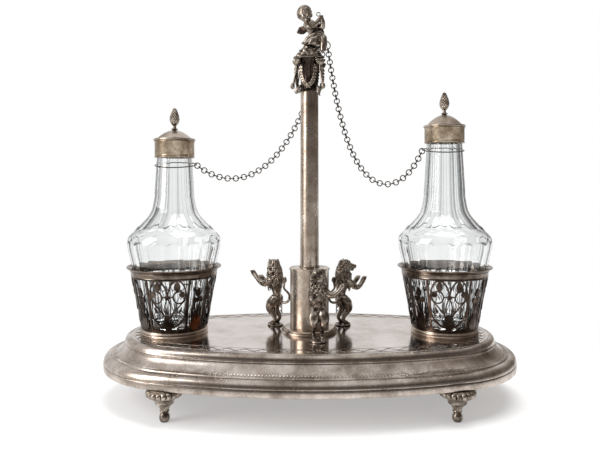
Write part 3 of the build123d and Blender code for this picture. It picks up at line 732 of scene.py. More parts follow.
child = [blob(place, size) for place, size in (
    ((1.6, -2.6, 1.8), (6.6, 4.6, 3.4)), (head_at, (5.4, 5.6, 5.8)),
    (on_head(1.0, -0.6, 0), (4.6, 4.6, 5.0)),
    ((4.6, -2.2, 8.6), (3.9, 3.4, 3.8)), ((9.0, -6.4, 21.0), 1.2), ((7.4, -7.0, 20.4), 1.2),
    (on_head(4.4, -4.2, 0), 1.3), (on_head(5.3, -2.9, 0), (0.8, 0.8, 0.4)),  # chin and lips
)]
for hand in (-1, 1):  # cheeks and ears
    child += [blob(on_head(3.6, -2.2, 2.0 * hand), 1.9),
              blob(on_head(0.4, -0.8, 5.5 * hand), (1.0, 0.8, 1.4))]
child += [
    limb([on_head(5.1, 0.6, 0), on_head(6.0, -1.3, 0)], [0.5, 0.85], 6, 8),  # nose
    limb([on_head(4.7, 1.6, -2.6), on_head(5.3, 1.9, 0), on_head(4.7, 1.6, 2.6)],
         [0.6, 0.5, 0.6], 8, 8),
    limb([(-3.4, -6.4, 1.5), (-5.2, -7.4, 1.0)], [1.2, 0.9], 8, 10),  # feet
    limb([(9.4, -8.6, -5.0), (8.9, -10.4, -5.6)], [1.2, 0.8], 8, 10),
]
for points, radii in (
    ([(6.8, 0.6, 3.6), (5.2, 0.6, 9.0), (2.2, 0.0, 14.0), (0.9, -0.2, 16.4)],
     [5.2, 4.8, 4.9, 4.0]),
    ([(-0.8, -0.6, 15.0), (1.6, -0.9, 15.4), (4.6, -1.2, 15.0)], [2.7, 3.2, 2.7]),
    ([(0.2, -0.6, 16.4), (-1.8, -0.8, 18.8), (-2.8, -1.0, 20.8)], [3.0, 2.5, 2.6]),
    ([(6.0, -1.0, 4.4), (3.4, -5.0, 6.6), (1.4, -6.6, 5.6)], [3.8, 3.5, 2.9]),  # legs
    ([(1.4, -6.6, 5.6), (-1.4, -6.7, 3.6), (-3.4, -6.6, 1.6)], [2.8, 2.3, 1.6]),
    ([(8.2, -1.2, 4.6), (9.8, -4.6, 5.2), (10.2, -6.4, 3.6)], [3.7, 3.2, 2.6]),
    ([(10.2, -6.4, 3.6), (9.8, -8.2, -0.6), (9.4, -8.8, -4.6)], [2.5, 2.2, 1.5]),
    ([(4.2, -1.6, 15.8), (7.6, -3.6, 14.0), (9.6, -5.2, 13.4)], [2.8, 2.3, 1.9]),  # arms
    ([(9.6, -5.2, 13.4), (9.6, -6.0, 17.0), (9.0, -6.3, 20.0)], [1.9, 1.8, 1.3]),
    ([(-2.0, -2.6, 15.6), (-0.6, -5.8, 13.4), (2.4, -7.2, 13.2)], [2.8, 2.3, 1.9]),
    ([(2.4, -7.2, 13.2), (5.2, -7.3, 15.8), (7.2, -7.0, 19.2)], [1.9, 1.8, 1.3]),
):
    child.append(limb(points, radii))
child.append(tube([Vector((6.4 + 1.35 * math.cos(a), -7.0, 22.4 + 1.35 * math.sin(a)))
                   for a in np.linspace(0, 6.0, 20)], 0.38, 8))
for k in range(150):
    height = 1 - 1.75 * (k + 0.5) / 150
    spin = 2.4 * k
    wide = math.sqrt(max(0.0, 1 - height**2))
    spot = brow_up * height + (gaze * math.cos(spin) + ear_side * math.sin(spin)) * wide
    if spot.dot(gaze) > 0.3 and height < 0.66:
        continue
    middle = head_at + Vector((spot.x * 5.45, spot.y * 5.65, spot.z * 5.85))
    turning = spot.orthogonal().normalized()
    other = spot.cross(turning)
    curl = [middle + (turning * math.cos(a + k) + other * math.sin(a + k)) * (0.72 - 0.09 * a)
            + spot * 0.03 * a
            for a in np.linspace(0, 6.6, 12)]
    child.append(tube(curl, lambda way: 0.4 - 0.1 * way, 6))
drape = smooth_path([(-0.6, -7.4, 1.4), (1.2, -7.9, 4.4), (3.4, -7.4, 7.0),
                     (6.8, -6.0, 8.6), (9.8, -4.6, 7.6), (11.9, -3.6, 4.6),
                     (12.2, -3.2, 1.0), (11.0, -3.4, -2.6)], 40)
for shift, size in ((0.0, 1.0), (1.7, 0.7), (-1.6, 0.7)):
    child.append(tube([p + Vector((0, shift * 0.4, shift)) for p in drape], size, 8, 0.8))
seat = Matrix.Translation((0, 0, mound_top))
dress(cast("child_cast", moved(join(*child), seat), 0.2), cast_silver,
      ["putto_figure"])

feathers = [leaf((-1.6, 3.8, 14.6), (-9.6, 5.6, 12.0), (0.1, -1, 0.3), 6.6, 0.9, 0.3, 10),
            leaf((4.8, 3.8, 13.8), (11.4, 5.8, 12.4), (-0.1, -1, 0.3), 5.4, 0.9, 0.3, 10)]
for root, directions, spread in (
    (Vector((-2.0, 3.9, 14.6)), [(-1, 0.35, 0.22 - 0.17 * k) for k in range(8)], 8.6),
    (Vector((5.2, 3.9, 13.8)), [(1, 0.5, 0.55 - 0.2 * k) for k in range(7)], 7.6),
):
    for layer, (reach, width) in enumerate(((1.0, 2.3), (0.68, 2.1), (0.42, 1.9))):
        for k, direction in enumerate(directions):
            way = Vector(direction).normalized()
            face = way.cross(Vector((0, 0, 1))).normalized()
            face = face if face.y < 0 else -face
            start = root + face * (0.35 * layer) - way * 0.8
            tip = start + way * (spread * reach * (1 - 0.05 * abs(k - 2.5)))
            feathers.append(leaf(start, tip, face + Vector((0, 0, 0.12 * (k % 2))), width, 0.7,
                                 0.4, 8))
# the wings take the pierced sheet's near-black painted shade
dress(cast("child_wings_cast", moved(join(*feathers), seat), 0.2), pierced_painted_shade,
      ["putto_wings"])

# ---------------------------------------------------------------- lions, each with its own pose
LION_CIRCLE = 32.0
LION_GROWN = 1.06  # the castings against their plain patterns
DISC = 1.2


def mane(head_turn, rng):
    """Long waved locks from the crown down over neck, shoulders and chest."""
    locks = []
    for level in range(11):
        z = 46.2 - 1.7 * level
        girth = 3.2 + 2.1 * math.sin(math.pi * min(1, level / 12))
        middle = Vector((0, -1.6 + 0.25 * min(level, 4), z))
        count = 15 if level else 9
        for k in range(count):
            bearing = 360 * (k + 0.5 * (level % 2)) / count
            front = abs((bearing + 180) % 360 - 180)
            if (level < 5 and front < 62) or (level >= 7 and 55 < front < 125):
                continue
            out = around(1, bearing + head_turn * max(0, 1 - level / 6), 0)
            side = out.cross(Vector((0, 0, 1)))
            root = middle + out * (girth * 0.86)
            sway = rng.uniform(0.4, 1.0) * (1 if (k + level) % 2 else -1)
            length = rng.uniform(4.6, 6.4)
            points = [root, root + out * 1.1 + side * sway - Vector((0, 0, length * 0.35)),
                      root + out * 0.9 - side * sway - Vector((0, 0, length * 0.7)),
                      root + out * 1.2 + side * sway * 0.6 - Vector((0, 0, length))]
            locks.append(limb(points, [0.75, 0.8, 0.55, 0.2], 9, 6))
    return locks


# a lion's own parts, facing -Y, in millimetres above its disc
HEAD = [((0, -2.4, 43.4), (3.7, 4.2, 3.9)), ((0, -4.0, 44.6), (2.6, 2.4, 2.0)),
        ((0, -10.3, 42.3), (0.95, 0.6, 0.6))]
HEAD_PAIRS = [  # brow, lip, cheek
    ((1.5, -6.0, 44.0), (0.95, 0.8, 0.6)), ((1.2, -8.6, 41.3), (1.05, 1.05, 1.05)),
    ((2.0, -5.0, 41.8), (1.5, 1.5, 1.5)),
]
TORSO = [(0, 0.9, 17.8), (0, 1.4, 22.0), (0, 0.4, 27.0), (0, -1.0, 32.0), (0, -0.6, 37.0),
         (0, -1.4, 41.5)]
THIGH = [(2.3, 1.0, 18.4), (3.3, -1.0, 15.4), (3.5, -2.4, 11.6), (3.1, -1.2, 8.6)]
SHANK = [(3.1, -1.2, 8.8), (3.0, 1.0, 6.2), (2.9, 1.8, 4.4), (2.8, 0.8, 2.4), (2.8, -1.2, 1.2)]
SHOULDER, TAIL_ROOT = (4.2, -1.6, 32), (0, 3.2, 19.0)
TAIL = [(0.6, 6.6, 16.0), (1.4, 10.6, 17.4), (1.0, 11.6, 22.4), (-0.4, 8.2, 26.6),
        (0.8, 7.4, 30.4)]


def mirrored(points, side):
    """Points on the lion's own right, or on its left for side -1."""
    return [(side * x, y, z) for x, y, z in points]


def lion_head(head_turn):
    """The head, turned about the neck."""
    head = [blob(*row) for row in HEAD]
    head.append(limb([(0, -4.6, 42.6), (0, -7.2, 42.0), (0, -9.2, 41.5)], [2.5, 1.95, 1.65]))
    head.append(limb([(0, -4.6, 40.4), (0, -7.8, 39.3)], [1.7, 1.05], 8, 10))
    for side in (-1, 1):
        head += [blob(mirrored([place], side)[0], size) for place, size in HEAD_PAIRS]
        head.append(blob((2.9 * side, -1.6, 46.3), (0.9, 0.6, 1.3), (0, 18 * side, 0)))  # ear
    neck = Vector((0, -1.6, 0))
    turned = Matrix.Translation(neck) @ Matrix.Rotation(math.radians(head_turn), 4, "Z")
    return moved(join(*head), turned @ Matrix.Translation(-neck))


def tufts(root, bends, radii=(0.8, 0.6, 0.2)):
    """One short lock of hair from its root, by its bends from there."""
    return limb([root, *(root + Vector(bend) for bend in bends)], list(radii), 7, 6)


def lion_leg(side):
    """One hind leg with its toes and the locks behind it."""
    leg = [limb(mirrored(THIGH, side), [3.7, 4.1, 3.1, 2.1]),
           limb(mirrored(SHANK, side), [2.0, 1.7, 1.4, 1.3, 1.4])]
    for toe in (-1, 0, 1):
        leg.append(limb([(side * 2.8 + toe * 0.7, -1.2, 0.9), (side * 2.8 + toe, -3.2, 0.7)],
                        [0.75, 0.6], 6, 8))
    for k in range(5):
        leg.append(tufts(Vector((side * 3.3, 2.2, 20 - 2.6 * k)),
                         [(side * 0.3, 1.0, -1.6), (side * -0.1, 1.4, -3.0)], (0.5, 0.5, 0.2)))
    return leg


def lion_arm(arm):
    """One arm from the shoulder along a path, with its toes and the locks under it."""
    shapes = [limb(arm, [2.7, 2.3, 2.0, 1.75, 1.9], 20, 12)]
    paw, wrist = Vector(arm[-1]), Vector(arm[-2])
    ahead = (paw - wrist).normalized()
    across = ahead.cross(Vector((0, 0, 1))).normalized()
    for toe in (-1.5, -0.5, 0.5, 1.5):
        root = paw + across * (toe * 0.7)
        shapes.append(limb([root, root + ahead * 1.9 + across * toe * 0.25], [0.62, 0.45], 6, 8))
    for k in range(4):
        root = Vector(arm[1]).lerp(Vector(arm[3]), k / 4)
        shapes.append(tufts(root, [(0, 0.8, -1.6), (0, 0.6, -2.9)]))
    return shapes


def lion(name, bearing, head_turn, arms, tail_side):
    """One rampant lion on its disc, facing outward; arms are paths after the shoulder."""
    rng = random.Random(name)
    body = [lion_head(head_turn), *mane(head_turn, rng),
            limb(TORSO, [3.7, 3.0, 3.9, 4.9, 4.4, 3.7], 24, 18)]
    for side, arm in zip((1, -1), arms):
        body += lion_leg(side) + lion_arm(mirrored([SHOULDER], side) + arm)
    tail = [TAIL_ROOT, *mirrored(TAIL, tail_side)]
    body.append(limb(tail, [1.2, 1.0, 0.9, 0.85, 0.8, 1.0], 30, 10))
    for k in range(7):
        lean = around(1, 51 * k, 0)
        body.append(tufts(Vector(tail[-1]),
                          [lean + Vector((0, 0.4, 2.0)), lean * 0.5 + Vector((0, 0.6, 4.4))],
                          (0.8, 0.8, 0.25)))
    for k in range(9):
        spot = around(1.2 + 3.6 * rng.random(), 360 * rng.random(), 0.1)
        body.append(blob(spot, (1.6, 1.3, 0.5), (0, 0, 40 * k), 8))
    stand_at = Matrix.Translation(around(LION_CIRCLE, bearing, top_z + DISC))
    grown = stand_at @ Matrix.Rotation(math.radians(bearing), 4, "Z") @ Matrix.Scale(LION_GROWN, 4)
    disc = lathe([(6.0, -DISC), (6.4, -1.0), (6.35, -0.4), (5.9, -0.05), (5.6, 0.1), (0.3, 0.15)],
                 48, lambda r, z, turn: (r * (1 - 0.02 * abs(math.sin(3 * turn))), z))
    stud = lathe([(1.5, -DISC - 3.8), (1.5, -DISC)], 24)
    placed = join(moved(join(*body), grown), moved(join(disc, stud), stand_at))
    dress(cast(f"{name}_cast", placed, 0.27), cast_silver, [name])


lion("lion_front", 10, -48,
     [[(7.2, -3.6, 30), (9.6, -5.0, 30.0), (12.4, -5.8, 32.6), (14.6, -6.2, 35.6)],
      [(-5.4, -5.2, 28.2), (-4.6, -8.0, 26.6), (-3.0, -10.6, 27.6), (-1.8, -13.2, 29.4)]], 1)
lion("lion_left", -125, -50,
     [[(5.4, -6.0, 29.6), (5.2, -9.8, 30.4), (4.6, -14.0, 33.4), (4.0, -17.8, 36.6)],
      [(-5.4, -6.0, 27.8), (-5.0, -9.6, 27.2), (-4.4, -13.2, 29.6), (-3.8, -16.2, 32.4)]], -1)
lion("lion_right", 125, -22,
     [[(5.4, -6.0, 28.4), (5.0, -9.6, 26.2), (4.5, -13.6, 27.2), (4.0, -17.8, 31.6)],
      [(-5.2, -5.8, 28.2), (-4.8, -9.4, 26.4), (-4.2, -13.4, 27.6), (-3.6, -17.4, 32.0)]], 1)

# ---------------------------------------------------------------- holders: galleries and lips
gallery_low, gallery_high = low("holder_right_gallery"), high("holder_right_gallery")
holder_x = (gallery_low.x + gallery_high.x) / 2
gallery_z, gallery_top = gallery_low.z, gallery_high.z
radius_top = (gallery_high.x - gallery_low.x) / 2
radius_foot = 24.1
slope = (radius_top - radius_foot) / (gallery_top - gallery_z)
PIERCED = 1.0  # thickness of the pierced sheet


def on_gallery(degrees, z, proud=0.0):
    """A point in the middle of the pierced sheet, and its outward normal."""
    radius = radius_foot + slope * (z - gallery_z) - PIERCED / 2 + proud
    normal = around(1, degrees, -slope).normalized()
    return around(radius, degrees, z), normal


def bar(points, width, centre, hand=1, count=16, proud=0.0, thick=PIERCED):
    """A pierced bar through (degrees, height) points, mirrored about the centre by hand -1."""
    path = smooth_path([(hand * a, z, 0) for a, z in points], count)
    placed, normals = zip(*(on_gallery(centre + p.x, p.y, proud) for p in path))
    return ribbon(placed, normals, width, thick)


def petal(root, tip, width, centre, hand=1, fullness=0.7):
    """A pierced leaf from its root to its tip, fullest near the root for a low fullness."""
    middle = ((root[0] + tip[0]) / 2, (root[1] + tip[1]) / 2)
    shape = lambda way: width * (math.sin(math.pi * way**fullness) ** 0.75) + 0.1
    return bar([root, middle, tip], shape, centre, hand, 10, 0.1, 1.3)


def loop(middle, wide, tall, width, centre, hand=1):
    """A pierced ring."""
    points = [(middle[0] + wide * math.cos(t), middle[1] + tall * math.sin(t))
              for t in np.linspace(0, 2 * math.pi, 22)]
    return bar(points, width, centre, hand, 44)


SPIKE = 1.4  # the fullness of a palmette's spike, widest near its tip
HEART = [(0, 73.6), (1.2, 78.2), (3.8, 82.1), (8, 85), (13, 86.3), (18, 85.4), (22.6, 82.4),
         (25.2, 78.6), (26.8, 74), (28.2, 67), (26.5, 61.2), (22.3, 57.4), (13.3, 53.6), (1, 51.4)]
# (points, width, steps) of the thin bars in one half of the heart panel and of the plant panel
HEART_BARS = [
    ([(30, 87), (29.6, 70), (29.4, gallery_z + 1)], 1.7, 12),
    ([(13.4, 79.2), (11.6, 78.2), (9.6, 76.8)], 0.9, 6),
    ([(0, 74.3), (4, 74.6), (8.2, 74.3)], 0.95, 8),
    ([(25.6, 72.6), (14, 66), (2.0, 58.6)], 0.95, 14),
    ([(1.0, 73.2), (3.9, 68.6), (4.2, 64.2), (1.4, 57.6)], 0.9, 16),
    ([(9.2, 70.2), (10.0, 66.4), (6.4, 61.8)], 0.75, 10),
]
PLANT_BARS = [([(4.6, 70.6), (3.6, 66), (1.2, 60)], 0.9, 10),
              ([(8.8, 66), (7.6, 58), (5.0, 52)], 0.8, 10)]


def heart_panel(centre):
    """Two arches with leaves inside a heart that springs from a spiked palmette."""
    shapes = [loop((0, 74.3), 2.6, 1.3, 0.9, centre),
              petal((0, 51.4), (0, 62.0), 1.5, centre, 1, SPIKE),
              petal((0, 49.0), (0, 54.6), 4.2, centre)]
    for hand in (-1, 1):
        shapes.append(bar(HEART, lambda way: 1.2 + 4.08 * max(0, way - 0.62) * (1.1 - way), centre,
                          hand, 60))
        shapes += [bar(points, width, centre, hand, count) for points, width, count in HEART_BARS]
        for root, tip, width in (((13.4, 78.8), (13.2, 86.0), 4.7),
                                 ((18.4, 74.4), (23.0, 78.4), 4.0),
                                 ((16.4, 62.6), (20.8, 66.8), 1.5)):
            shapes.append(petal(root, tip, width, centre, hand))
        shapes += [loop((16.4, 74.2), 8.3, 4.3, 1.0, centre, hand),
                   loop((21.6, 51.4), 6.6, 0.9, 0.8, centre, hand)]
        for k in range(1, 5):
            lean, reach = math.radians(20 * k), 8.8 - 0.9 * k
            tip = (math.sin(lean) * reach * 2.1, 52.4 + math.cos(lean) * reach)
            shapes.append(petal((0.4 * k, 51.6), tip, 1.45, centre, hand, SPIKE))
    return shapes


def plant_panel(centre):
    """Two round leaves and a pointed one on stems, over the fan shell."""
    shapes = [petal((0, 73.6), (0, 80.4), 4.4, centre),
              bar([(0, 74.4), (0.4, 69), (0, 60)], 1.0, centre, 1, 10)]
    for hand in (-1, 1):
        shapes += [petal((4.0, 69.6), (5.6, 74.0), 3.9, centre, hand),
                   loop((9.6, 51.3), 3.4, 0.8, 0.75, centre, hand)]
        shapes += [bar(points, width, centre, hand, count) for points, width, count in PLANT_BARS]
    return shapes


def fan_shell(centre):
    """Seven ribs of a scallop, from its hinge at the foot."""
    return [petal((1.1 * k, 49.2), (3.9 * k, 62.2 - 0.62 * k * k), 1.75, centre)
            for k in range(-3, 4)]


def at_holder(shape, side):
    """A shape moved from the origin to a holder's axis."""
    return moved(shape, Matrix.Translation((SIDES[side] * holder_x, 0, 0)))


def turned_ring(name, profile, side, steps, material, node, body="stand", shape=None):
    """A turned silver piece about a holder's axis, in place of its plain node."""
    ring = at_holder(lathe(profile, steps, shape, closed=True), side)
    dress(build(name, ring, 40), material, [node], body)


HEART_BEARING = {"left": 1.8, "right": -6.5}  # of each holder's first heart panel
FOOT_RING = [(22.95, 0), (24.6, 0), (24.75, 0.4), (24.5, 0.9), (24.2, 1.1), (24.3, 1.5),
             (24.75, 1.9), (24.8, 2.4), (24.5, 2.9), (24.2, 3.1), (24.1, 3.5), (22.95, 3.5)]
for side in SIDES:
    gallery = []
    for ring_z, width in ((gallery_z + 1.1, 2.2), (gallery_top - 0.5, 1.0)):
        path, normals = zip(*(on_gallery(a, ring_z) for a in range(0, 361, 3)))
        gallery.append(ribbon(path, normals, width, 1.2))
    for quarter in range(4):
        bearing = HEART_BEARING[side] + 90 * quarter
        gallery += heart_panel(bearing) + plant_panel(bearing + 45)
        stained = side == "left" and quarter == 0
        fan = at_holder(join(*fan_shell(bearing + 45)), side)
        # the fans take the pierced sheet's near-black painted shade, except the stained one
        dress(build(f"gallery_{side}_fan_{quarter}", fan, 40),
              stained_silver if stained else pierced_painted_shade)
    # the pierced bars and rings take the near-black painted shade
    dress(build(f"gallery_{side}_pierced", at_holder(join(*gallery), side), 40), pierced_painted_shade,
          [f"holder_{side}_gallery"])
    turned_ring(f"holder_{side}_foot_ring", shifted(FOOT_RING, 0, top_z), side, 144, tube_silver,
                f"holder_{side}_ring")
    lip_low, lip_high = low(f"holder_{side}_lip"), high(f"holder_{side}_lip")
    lip_radius, lip_top, band = (lip_high.x - lip_low.x) / 2, lip_high.z, lip_low.z
    lip = shifted([(0, 0), (0.35, 0.2), (0.2, 0.7), (0.35, 1.2), (0.3, 2.6), (0.6, 2.9),
                   (0.75, 3.3),
                   (0.55, 3.7), (0.8, 4.1), (1.6, 4.7), (2.6, 5.15)], radius_top, band)
    lip.append((lip_radius - 0.2, band + 5.4))
    lip += shifted([(0, -0.65), (0, -0.2), (-0.3, 0), (-0.7, -0.1)], lip_radius, lip_top)
    lip += shifted([(1.9, -0.75), (0.6, -1.3), (-0.1, -2.0)], radius_top, lip_top)
    lip += shifted([(-0.7, 2.6), (-1.0, 0)], radius_top, band)
    turned_ring(f"holder_{side}_flared_lip", lip, side, 180, lip_silver, f"holder_{side}_lip",
                shape=lambda r, z, turn: (r, z + 0.12 * math.sin(3 * turn) * max(0, z - band) / 6))

# ---------------------------------------------------------------- cut glass bottles
FLANK_RISE, BELLY_RISE, NECK_RISE = 51.3, 66.6, 99.3  # of a bottle's lines above its foot
FLOOR_RISE, GLASS_WALL, MOUTH = 5.0, 2.0, 12.3
FLUTES, PANEL = 16, math.pi / 6  # round the body, and each neck panel's share of the turn
GLASS_STEPS = 240


def run(start, stop, count):
    """Profile points at even steps after start, up to stop."""
    return [(start[0] + (stop[0] - start[0]) * k / count,
             start[1] + (stop[1] - start[1]) * k / count)
            for k in range(1, count + 1)]


def cruet_glass(side):
    """Flutes under the shoulder, a scalloped edge, a plain shoulder and a twelve-sided neck."""
    glass_low, glass_high = low(f"cruet_{side}_bottle"), high(f"cruet_{side}_bottle")
    foot_z, mouth_z = glass_low.z, glass_high.z
    belly = (glass_high.x - glass_low.x) / 2
    flank_z, belly_z, neck_z = foot_z + FLANK_RISE, foot_z + BELLY_RISE, foot_z + NECK_RISE
    foot, flank = belly - 12.05, belly - 2.6
    neck = MOUTH + 0.06 * (mouth_z - neck_z)
    shoulder = smooth_path([(flank, flank_z, 0), (belly, belly_z, 0),
                            (neck + 0.68 * (belly - neck), belly_z + 8.83, 0),
                            (neck + 0.16 * (belly - neck), belly_z + 20.6, 0),
                            (neck, neck_z, 0)], 90)
    outer = [(foot - 1.2, foot_z), (foot, foot_z + 0.6), *run((foot, foot_z), (flank, flank_z), 8)]
    outer += [(p.x, p.y) for p in shoulder[1:]] + run((neck, neck_z), (MOUTH, mouth_z), 12)
    inner = [(r - GLASS_WALL, z) for r, z in outer if z > foot_z + FLOOR_RISE + 0.2][::-1]
    inner += [(foot - 1.4, foot_z + FLOOR_RISE), (8.0, foot_z + 4.6), (0.6, foot_z + 4.4)]
    scallop_body, scallop_neck = belly_z - 2.4, belly_z + 9.2

    def inside(z):
        """The bore's radius at a height."""
        return [p for p in outer if p[1] <= z][-1][0] - GLASS_WALL

    def cut(r, z, turn):
        """Wheel cuts go in from the blown form, never out."""
        if r < MOUTH - 0.01 or (z > foot_z + FLOOR_RISE and r < inside(z) + 0.3):
            return r, z
        flute = abs(math.sin(FLUTES / 2 * turn))
        edge = scallop_body + 3.4 * math.sqrt(flute)
        deep = min(1, max(0, (edge - z) / 1.1)) * min(1, max(0, (z - foot_z - 2) / 6))
        r -= deep * 0.85 * flute
        part = (turn + PANEL / 2) % PANEL - PANEL / 2
        arch = scallop_neck + 2.6 * (1 - abs(part) / (PANEL / 2)) ** 0.6
        flat = math.cos(PANEL / 2) / math.cos(part)
        deep = min(1, max(0, z - (2 * scallop_neck + 1.2 - arch)))
        return r * (1 - deep * (1 - flat * (0.985 if z < neck_z else 1))), z

    profile = [(0.6, foot_z + 0.9), (foot - 6, foot_z + 0.9), (foot - 3, foot_z), *outer, *inner]
    points, faces = lathe(profile, GLASS_STEPS, cut, closed=True)
    # small discs close the foot and the floor inside
    last = len(points) - GLASS_STEPS
    discs = [tuple(range(GLASS_STEPS)), tuple(range(last, len(points)))]
    return points, faces[:-GLASS_STEPS] + discs


# ---------------------------------------------------------------- collars, lids and finials
LID_STEP = 1.6  # the flange's thickness
CONE = [(1.7, 0), (2.0, 0.5), (1.5, 1.4), (1.15, 2.4), (1.2, 3.6), (1.9, 4.4), (2.6, 5.2),
        (3.15, 6.6), (3.3, 8.2), (3.05, 10), (2.5, 12), (1.7, 14), (0.9, 15.8), (0.25, 16.8)]
SCALE_GIRTH = ([4.4, 6.6, 8.2, 10, 12, 14, 15.8, 16.8], [2.0, 3.2, 3.35, 3.1, 2.5, 1.75, 0.9, 0.3])


def finial():
    """A scaly cone over two whorls of leaves, in millimetres above its foot."""
    cone = [lathe(CONE, 32)]
    for k in range(8):
        turn = 45 * k
        cone.append(leaf(around(1.2, turn, 0.35), around(2.6, turn, 0.9), around(0.2, turn, 1),
                         1.7, 0.6))
        turn += 22
        cone.append(leaf(around(1.1, turn, 3.4), around(2.9, turn, 5.6), around(1, turn, -0.3),
                         1.9, 0.5))
    for level in range(9):
        z = 5.6 + 1.22 * level
        girth = float(np.interp(z, *SCALE_GIRTH))
        count = 11 if level < 5 else 8 if level < 7 else 6
        for k in range(count):
            turn = 360 * (k + 0.5 * (level % 2)) / count
            size = (0.26 + 0.16 * girth, 0.5, 0.72)
            cone.append(blob(around(girth - 0.05, turn, z + 0.3), size, (-24, 0, turn), 10))
    return join(*cone)


for side in SIDES:
    dress(build(f"bottle_{side}_cut", at_holder(cruet_glass(side), side), 22), glass,
          [f"cruet_{side}_bottle"], f"cruet_{side}")
    collar_low, collar_high = low(f"cruet_{side}_collar"), high(f"cruet_{side}_collar")
    ring, bottom, top = (collar_high.x - collar_low.x) / 2, collar_low.z, collar_high.z
    collar = shifted([(-0.25, 0), (0, 0.3), (0, 0.8), (-0.3, 1.1), (-0.05, 1.6), (-0.3, 2.1),
                      (-0.15, 2.6)],
                     ring, bottom)
    collar += shifted([(-0.2, -1.4), (-0.05, -0.9), (0, -0.4), (-0.2, 0)], ring, top)
    collar += [(10.3, top), (10.3, top - 2.1), (12.4, top - 2.15), (12.45, top - 2.3)]
    turned_ring(f"collar_{side}_turned", [(12.95, bottom), *collar], side, 128, collar_silver,
                f"cruet_{side}_collar", f"cruet_{side}")
    lid_low, lid_high = low(f"lid_{side}_dome"), high(f"lid_{side}_dome")
    flange, apex = (lid_high.x - lid_low.x) / 2, lid_high.z
    ledge = top + LID_STEP
    dome = [(r, ledge + (apex - ledge) * (1 - (r / 13.1) ** 1.9))
            for r in np.linspace(13.0, 1.8, 22)]
    lid = [(9.4, top), *shifted([(-0.3, 0), (0, 0.35), (-0.05, 0.8), (-0.35, 1.1), (-0.4, 1.35),
                                 (-0.8, LID_STEP)],
                                flange, top), (13.4, ledge)]
    lid += dome + [(1.0, apex), (0.3, apex), (0.3, apex - 1.2)]
    lid += [(max(0.3, r * 0.72), z - 1.4) for r, z in reversed(dome[4:])]
    turned_ring(f"lid_{side}_raised", lid, side, 128, tube_silver, f"lid_{side}_dome",
                f"lid_{side}")
    cone_foot = Matrix.Translation((0, 0, high(f"lid_{side}_finial").z - 17.0))
    dress(cast(f"finial_{side}_cone", at_holder(moved(finial(), cone_foot), side), 0.13),
          cast_silver, [f"lid_{side}_finial"], f"lid_{side}")

# ---------------------------------------------------------------- chains
LINK_RADIUS, LINK_WIRE = 2.05, 0.4
EYE_X = 13.0
REACH = 2000.0  # the length given to the eye-to-ring direction, far past the chain's own


def loose_parts(node):
    """Centre and axis of each round link in a chain's mesh, in millimetres."""
    work = bmesh.new()
    work.from_mesh(nodes[node].data)
    known, found = set(), []
    for start in work.verts:
        if start in known:
            continue
        group, heap = [], [start]
        known.add(start)
        while heap:
            vert = heap.pop()
            group.append(nodes[node].matrix_world @ vert.co / MM)
            for other in (edge.other_vert(vert) for edge in vert.link_edges):
                if other not in known:
                    known.add(other)
                    heap.append(other)
        spots = np.array([tuple(p) for p in group])
        axis = np.linalg.svd(spots - spots.mean(0), full_matrices=False)[2][2]
        found.append((Vector((spots.max(0) + spots.min(0)) / 2), Vector(axis)))
    work.free()
    return found


for side in SIDES:
    chain = f"chain_{side}"
    links = loose_parts(chain)
    from_eye = min(links, key=lambda found: abs(found[0].x - EYE_X))[0]
    to_ring = max(links, key=lambda found: abs(found[0].x))[0]
    along = (to_ring - from_eye).normalized() * REACH
    for number, (centre, axis) in enumerate(links):
        one = axis.orthogonal().normalized()
        two = axis.cross(one)
        round_path = [centre + (one * math.cos(a) + two * math.sin(a)) * LINK_RADIUS
                      for a in (2 * math.pi * k / 18 for k in range(18))]
        wire = tube(round_path, LINK_WIRE, 7, closed=True)
        link = dress(build(f"chain_{side}_link_{number}", wire, 60), wire_silver,
                     [chain], None)
        # how far along from eye to ring each link lies, 0 to 1
        way = min(1, max(0, (centre.x - from_eye.x) / (to_ring.x - from_eye.x)))
        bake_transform(link)

# ---------------------------------------------------------------- room, lamps and camera
scene = bpy.context.scene
scene.view_settings.view_transform = "Standard"
world = bpy.data.worlds.new("studio")
scene.world = world
world.use_nodes = True
world.node_tree.nodes.clear()
direction = add(world, "ShaderNodeTexCoord").outputs["Generated"]
axes = add(world, "ShaderNodeSeparateXYZ", {"Vector": direction})
# white walls behind and to the left; the room is darker on the camera's side and to the right
depth = add(world, "ShaderNodeMapRange",
            {"Value": axes.outputs["Y"], "From Min": -0.7, "From Max": 0.2})
height = add(world, "ShaderNodeMapRange",
             {"Value": axes.outputs["Z"], "From Min": 0.3, "From Max": 0.85})
lit = add(world, "ShaderNodeMath", {0: depth.outputs[0], 1: height.outputs[0]},
          operation="MAXIMUM")
right = add(world, "ShaderNodeMapRange", {"Value": axes.outputs["X"], "From Min": 0.25,
                                          "From Max": 0.8, "To Min": 1.0, "To Max": 0.25})
lit = add(world, "ShaderNodeMath", {0: lit.outputs[0], 1: right.outputs[0]}, operation="MULTIPLY")
room_colour = ramp(world, lit.outputs[0], [(0.0, "#4d4642"), (0.5, "#a8a19b"), (1.0, "#f4f4f4")])
path = add(world, "ShaderNodeLightPath")
# seen through glass the room falls off to both sides, so that every cut edge draws a line
sides = add(world, "ShaderNodeMath", {0: axes.outputs["X"]}, operation="ABSOLUTE")
side_colour = ramp(world, sides.outputs[0], [(0.2, "#ffffff"), (0.62, "#6c6d6f")])
through = add(world, "ShaderNodeMix", {0: path.outputs["Is Transmission Ray"], 6: room_colour,
                                       7: side_colour},
              data_type="RGBA")
shown = add(world, "ShaderNodeMix", {0: path.outputs["Is Camera Ray"], 6: through.outputs[2],
                                     7: (1, 1, 1, 1)},
            data_type="RGBA")
light = add(world, "ShaderNodeBackground", {"Color": shown.outputs[2], "Strength": 1.0})
add(world, "ShaderNodeOutputWorld", {"Surface": light.outputs["Background"]})

